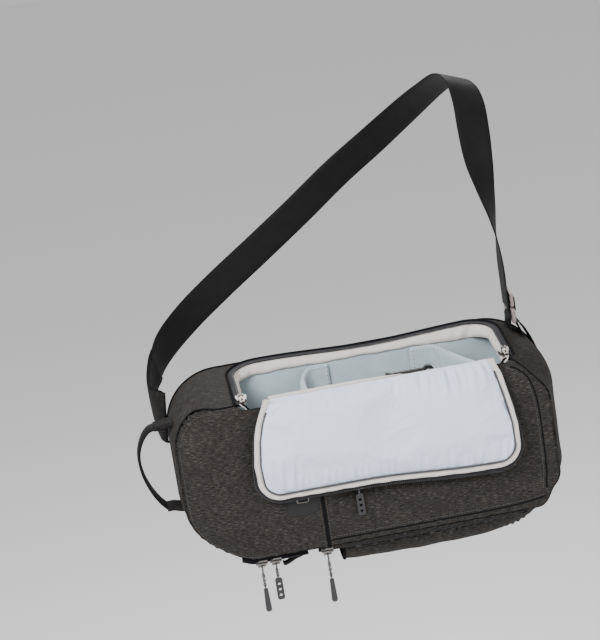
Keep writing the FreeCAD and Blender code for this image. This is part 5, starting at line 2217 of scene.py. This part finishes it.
# ---------- back
@dataclass
class BackPanel:
    """The padded mesh panel that lies on the wearer."""

    bench: Bench
    deep: float = 6.0

    def build(self) -> None:
        """Makes the panel: paired places of the outline joined by rows, quilted in three pads."""
        s = np.linspace(0, PLAN.length(), 1200, endpoint=False)
        xz, n = PLAN.at(s)
        loop = xz - n * 1.0
        upper, lower = halves(loop)
        upper, lower = spread(upper, 260), spread(lower, 260)
        v = (1 - np.cos(np.linspace(0, np.pi, 110))) / 2
        flat = joined(lower, upper, v)
        rise = self.quilt(flat.reshape(-1, 2), loop).reshape(flat.shape[:2])
        points = np.stack([flat[..., 0], BACK - 0.5 + rise, flat[..., 1]], -1)
        surface = Surface(points, flat).flipped()
        made = self.bench.piece("back_panel_mesh", surface, Cloth.MESH, "root", ["back_panel"], "back_mesh")

    def quilt(self, xz: Array, loop: Array) -> Array:
        """Height of the padding: full in each pad, down to the seam at edges and channels.

        Args:
            xz: the places.
            loop: the panel's outline.

        Returns:
            Their heights.
        """
        x, z = xz[:, 0], xz[:, 1]
        gaps = []
        for chunk in np.array_split(xz, max(1, len(xz) // CHUNK)):
            apart = chunk[:, None] - loop[None]
            gaps.append(np.hypot(apart[..., 0], apart[..., 1]).min(1))
        d = np.concatenate(gaps)
        channels = np.minimum(np.abs(x + 62 + 0.12 * z), np.abs(x - 72 - 0.12 * z))
        share = ease(np.minimum(d, channels + 1.0) / 14.0)
        return 0.5 + (self.deep - 0.3) * np.sqrt(share)


# ---------- stage
@dataclass
class Studio:
    """Camera, light and floor."""

    bench: Bench
    azimuth: float = -5.5
    elevation: float = 20.0
    roll: float = 8.6
    distance: float = 3000.0
    parts: int = 640  # parts that the view's height is divided in
    scale: float = 1.10  # millimetres across one part
    aim: tuple[float, float] = (66.0, 125.0)  # parts right of and below the middle where the bag sits
    film: float = 36.0
    floor_z: float = -1000.0
    floor_half: float = 9000.0

    def build(self) -> None:
        """Sets up the whole stage."""
        self.camera()
        self.lights()
        self.floor()

    def axes(self) -> tuple[Array, Array, Array]:
        """Directions to the camera, to its right and up, the view turned by roll.

        Returns:
            Three directions.
        """
        a, e, q = (math.radians(v) for v in (self.azimuth, self.elevation, self.roll))
        back = np.array([math.sin(a) * math.cos(e), -math.cos(a) * math.cos(e), math.sin(e)])
        right = np.array([math.cos(a), math.sin(a), 0.0])
        up = np.cross(back, right)
        return back, math.cos(q) * right - math.sin(q) * up, math.sin(q) * right + math.cos(q) * up

    def camera(self) -> None:
        """The camera stands off the bag's middle and looks a little up and left of it."""
        back, right, up = self.axes()
        eye = back * self.distance
        x, y = (v * self.scale / self.distance for v in self.aim)
        forward = -back - right * x + up * y
        forward /= np.linalg.norm(forward)
        side = np.cross(forward, up)
        side /= np.linalg.norm(side)
        top = np.cross(side, forward)
        data = bpy.data.cameras.new("camera")
        data.lens = self.film * self.distance / (self.parts * self.scale)
        data.sensor_width = self.film
        data.clip_end = 50.0
        made = bpy.data.objects.new("camera", data)
        bpy.context.scene.collection.objects.link(made)
        turn = Matrix((side, top, -forward)).transposed()
        made.matrix_world = Matrix.Translation(self.bench.metres(eye)) @ turn.to_4x4()
        bpy.context.scene.camera = made

    def lights(self) -> None:
        """A large soft key from the upper left, a fill and a rim light, under a pale sky."""
        for name, place, size, power in (
            ("key", (-1300, -1500, 1700), 1.2, 120.0),
            ("fill", (1500, -1500, 500), 1.8, 38.0),
            ("rim", (300, 1500, 1400), 1.2, 30.0),
        ):
            data = bpy.data.lights.new(name, "AREA")
            data.size, data.energy = size, power
            made = bpy.data.objects.new(name, data)
            bpy.context.scene.collection.objects.link(made)
            at = Vector(self.bench.metres(np.array(place, float)))
            look = Vector(self.bench.metres(np.zeros(3))) - at
            made.location = at
            made.rotation_euler = look.to_track_quat("-Z", "Y").to_euler()
        world = bpy.data.worlds.new("sky")
        bpy.context.scene.world = world
        world.use_nodes = True
        sky = world.node_tree.nodes["Background"]
        sky.inputs["Color"].default_value = (1.0, 1.0, 1.0, 1.0)
        sky.inputs["Strength"].default_value = 0.6

    def floor(self) -> None:
        """A plain pale floor well below the bag."""
        mesh = bpy.data.meshes.new("floor")
        h, z = self.floor_half, self.floor_z
        corners = np.array([(-h, -h, z), (h, -h, z), (h, h, z), (-h, h, z)])
        mesh.from_pydata(self.bench.metres(corners).tolist(), [], [(0, 1, 2, 3)])
        made = bpy.data.objects.new("floor", mesh)
        bpy.context.scene.collection.objects.link(made)
        recipe = Recipe("pale_floor")
        mesh.materials.append(recipe.finish({"Base Color": (0.9, 0.9, 0.9), "Roughness": 0.9}))


def main(nodes: dict[str, Any]) -> None:
    """Builds every sub-assembly in order.

    Args:
        nodes: the CAD nodes by name.
    """
    logging.basicConfig(level=logging.INFO, format="%(name)s %(message)s")
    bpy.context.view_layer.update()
    bench = Bench(nodes)
    Studio(bench).build()
    for assembly in (Shell, Rim, Flap, Inside, Underside, Pulls, Straps, BackPanel):
        assembly(bench).build()
    LOG.info("%d faces in all", bench.total)


if __name__ == "__main__":
    main(frame["nodes"])
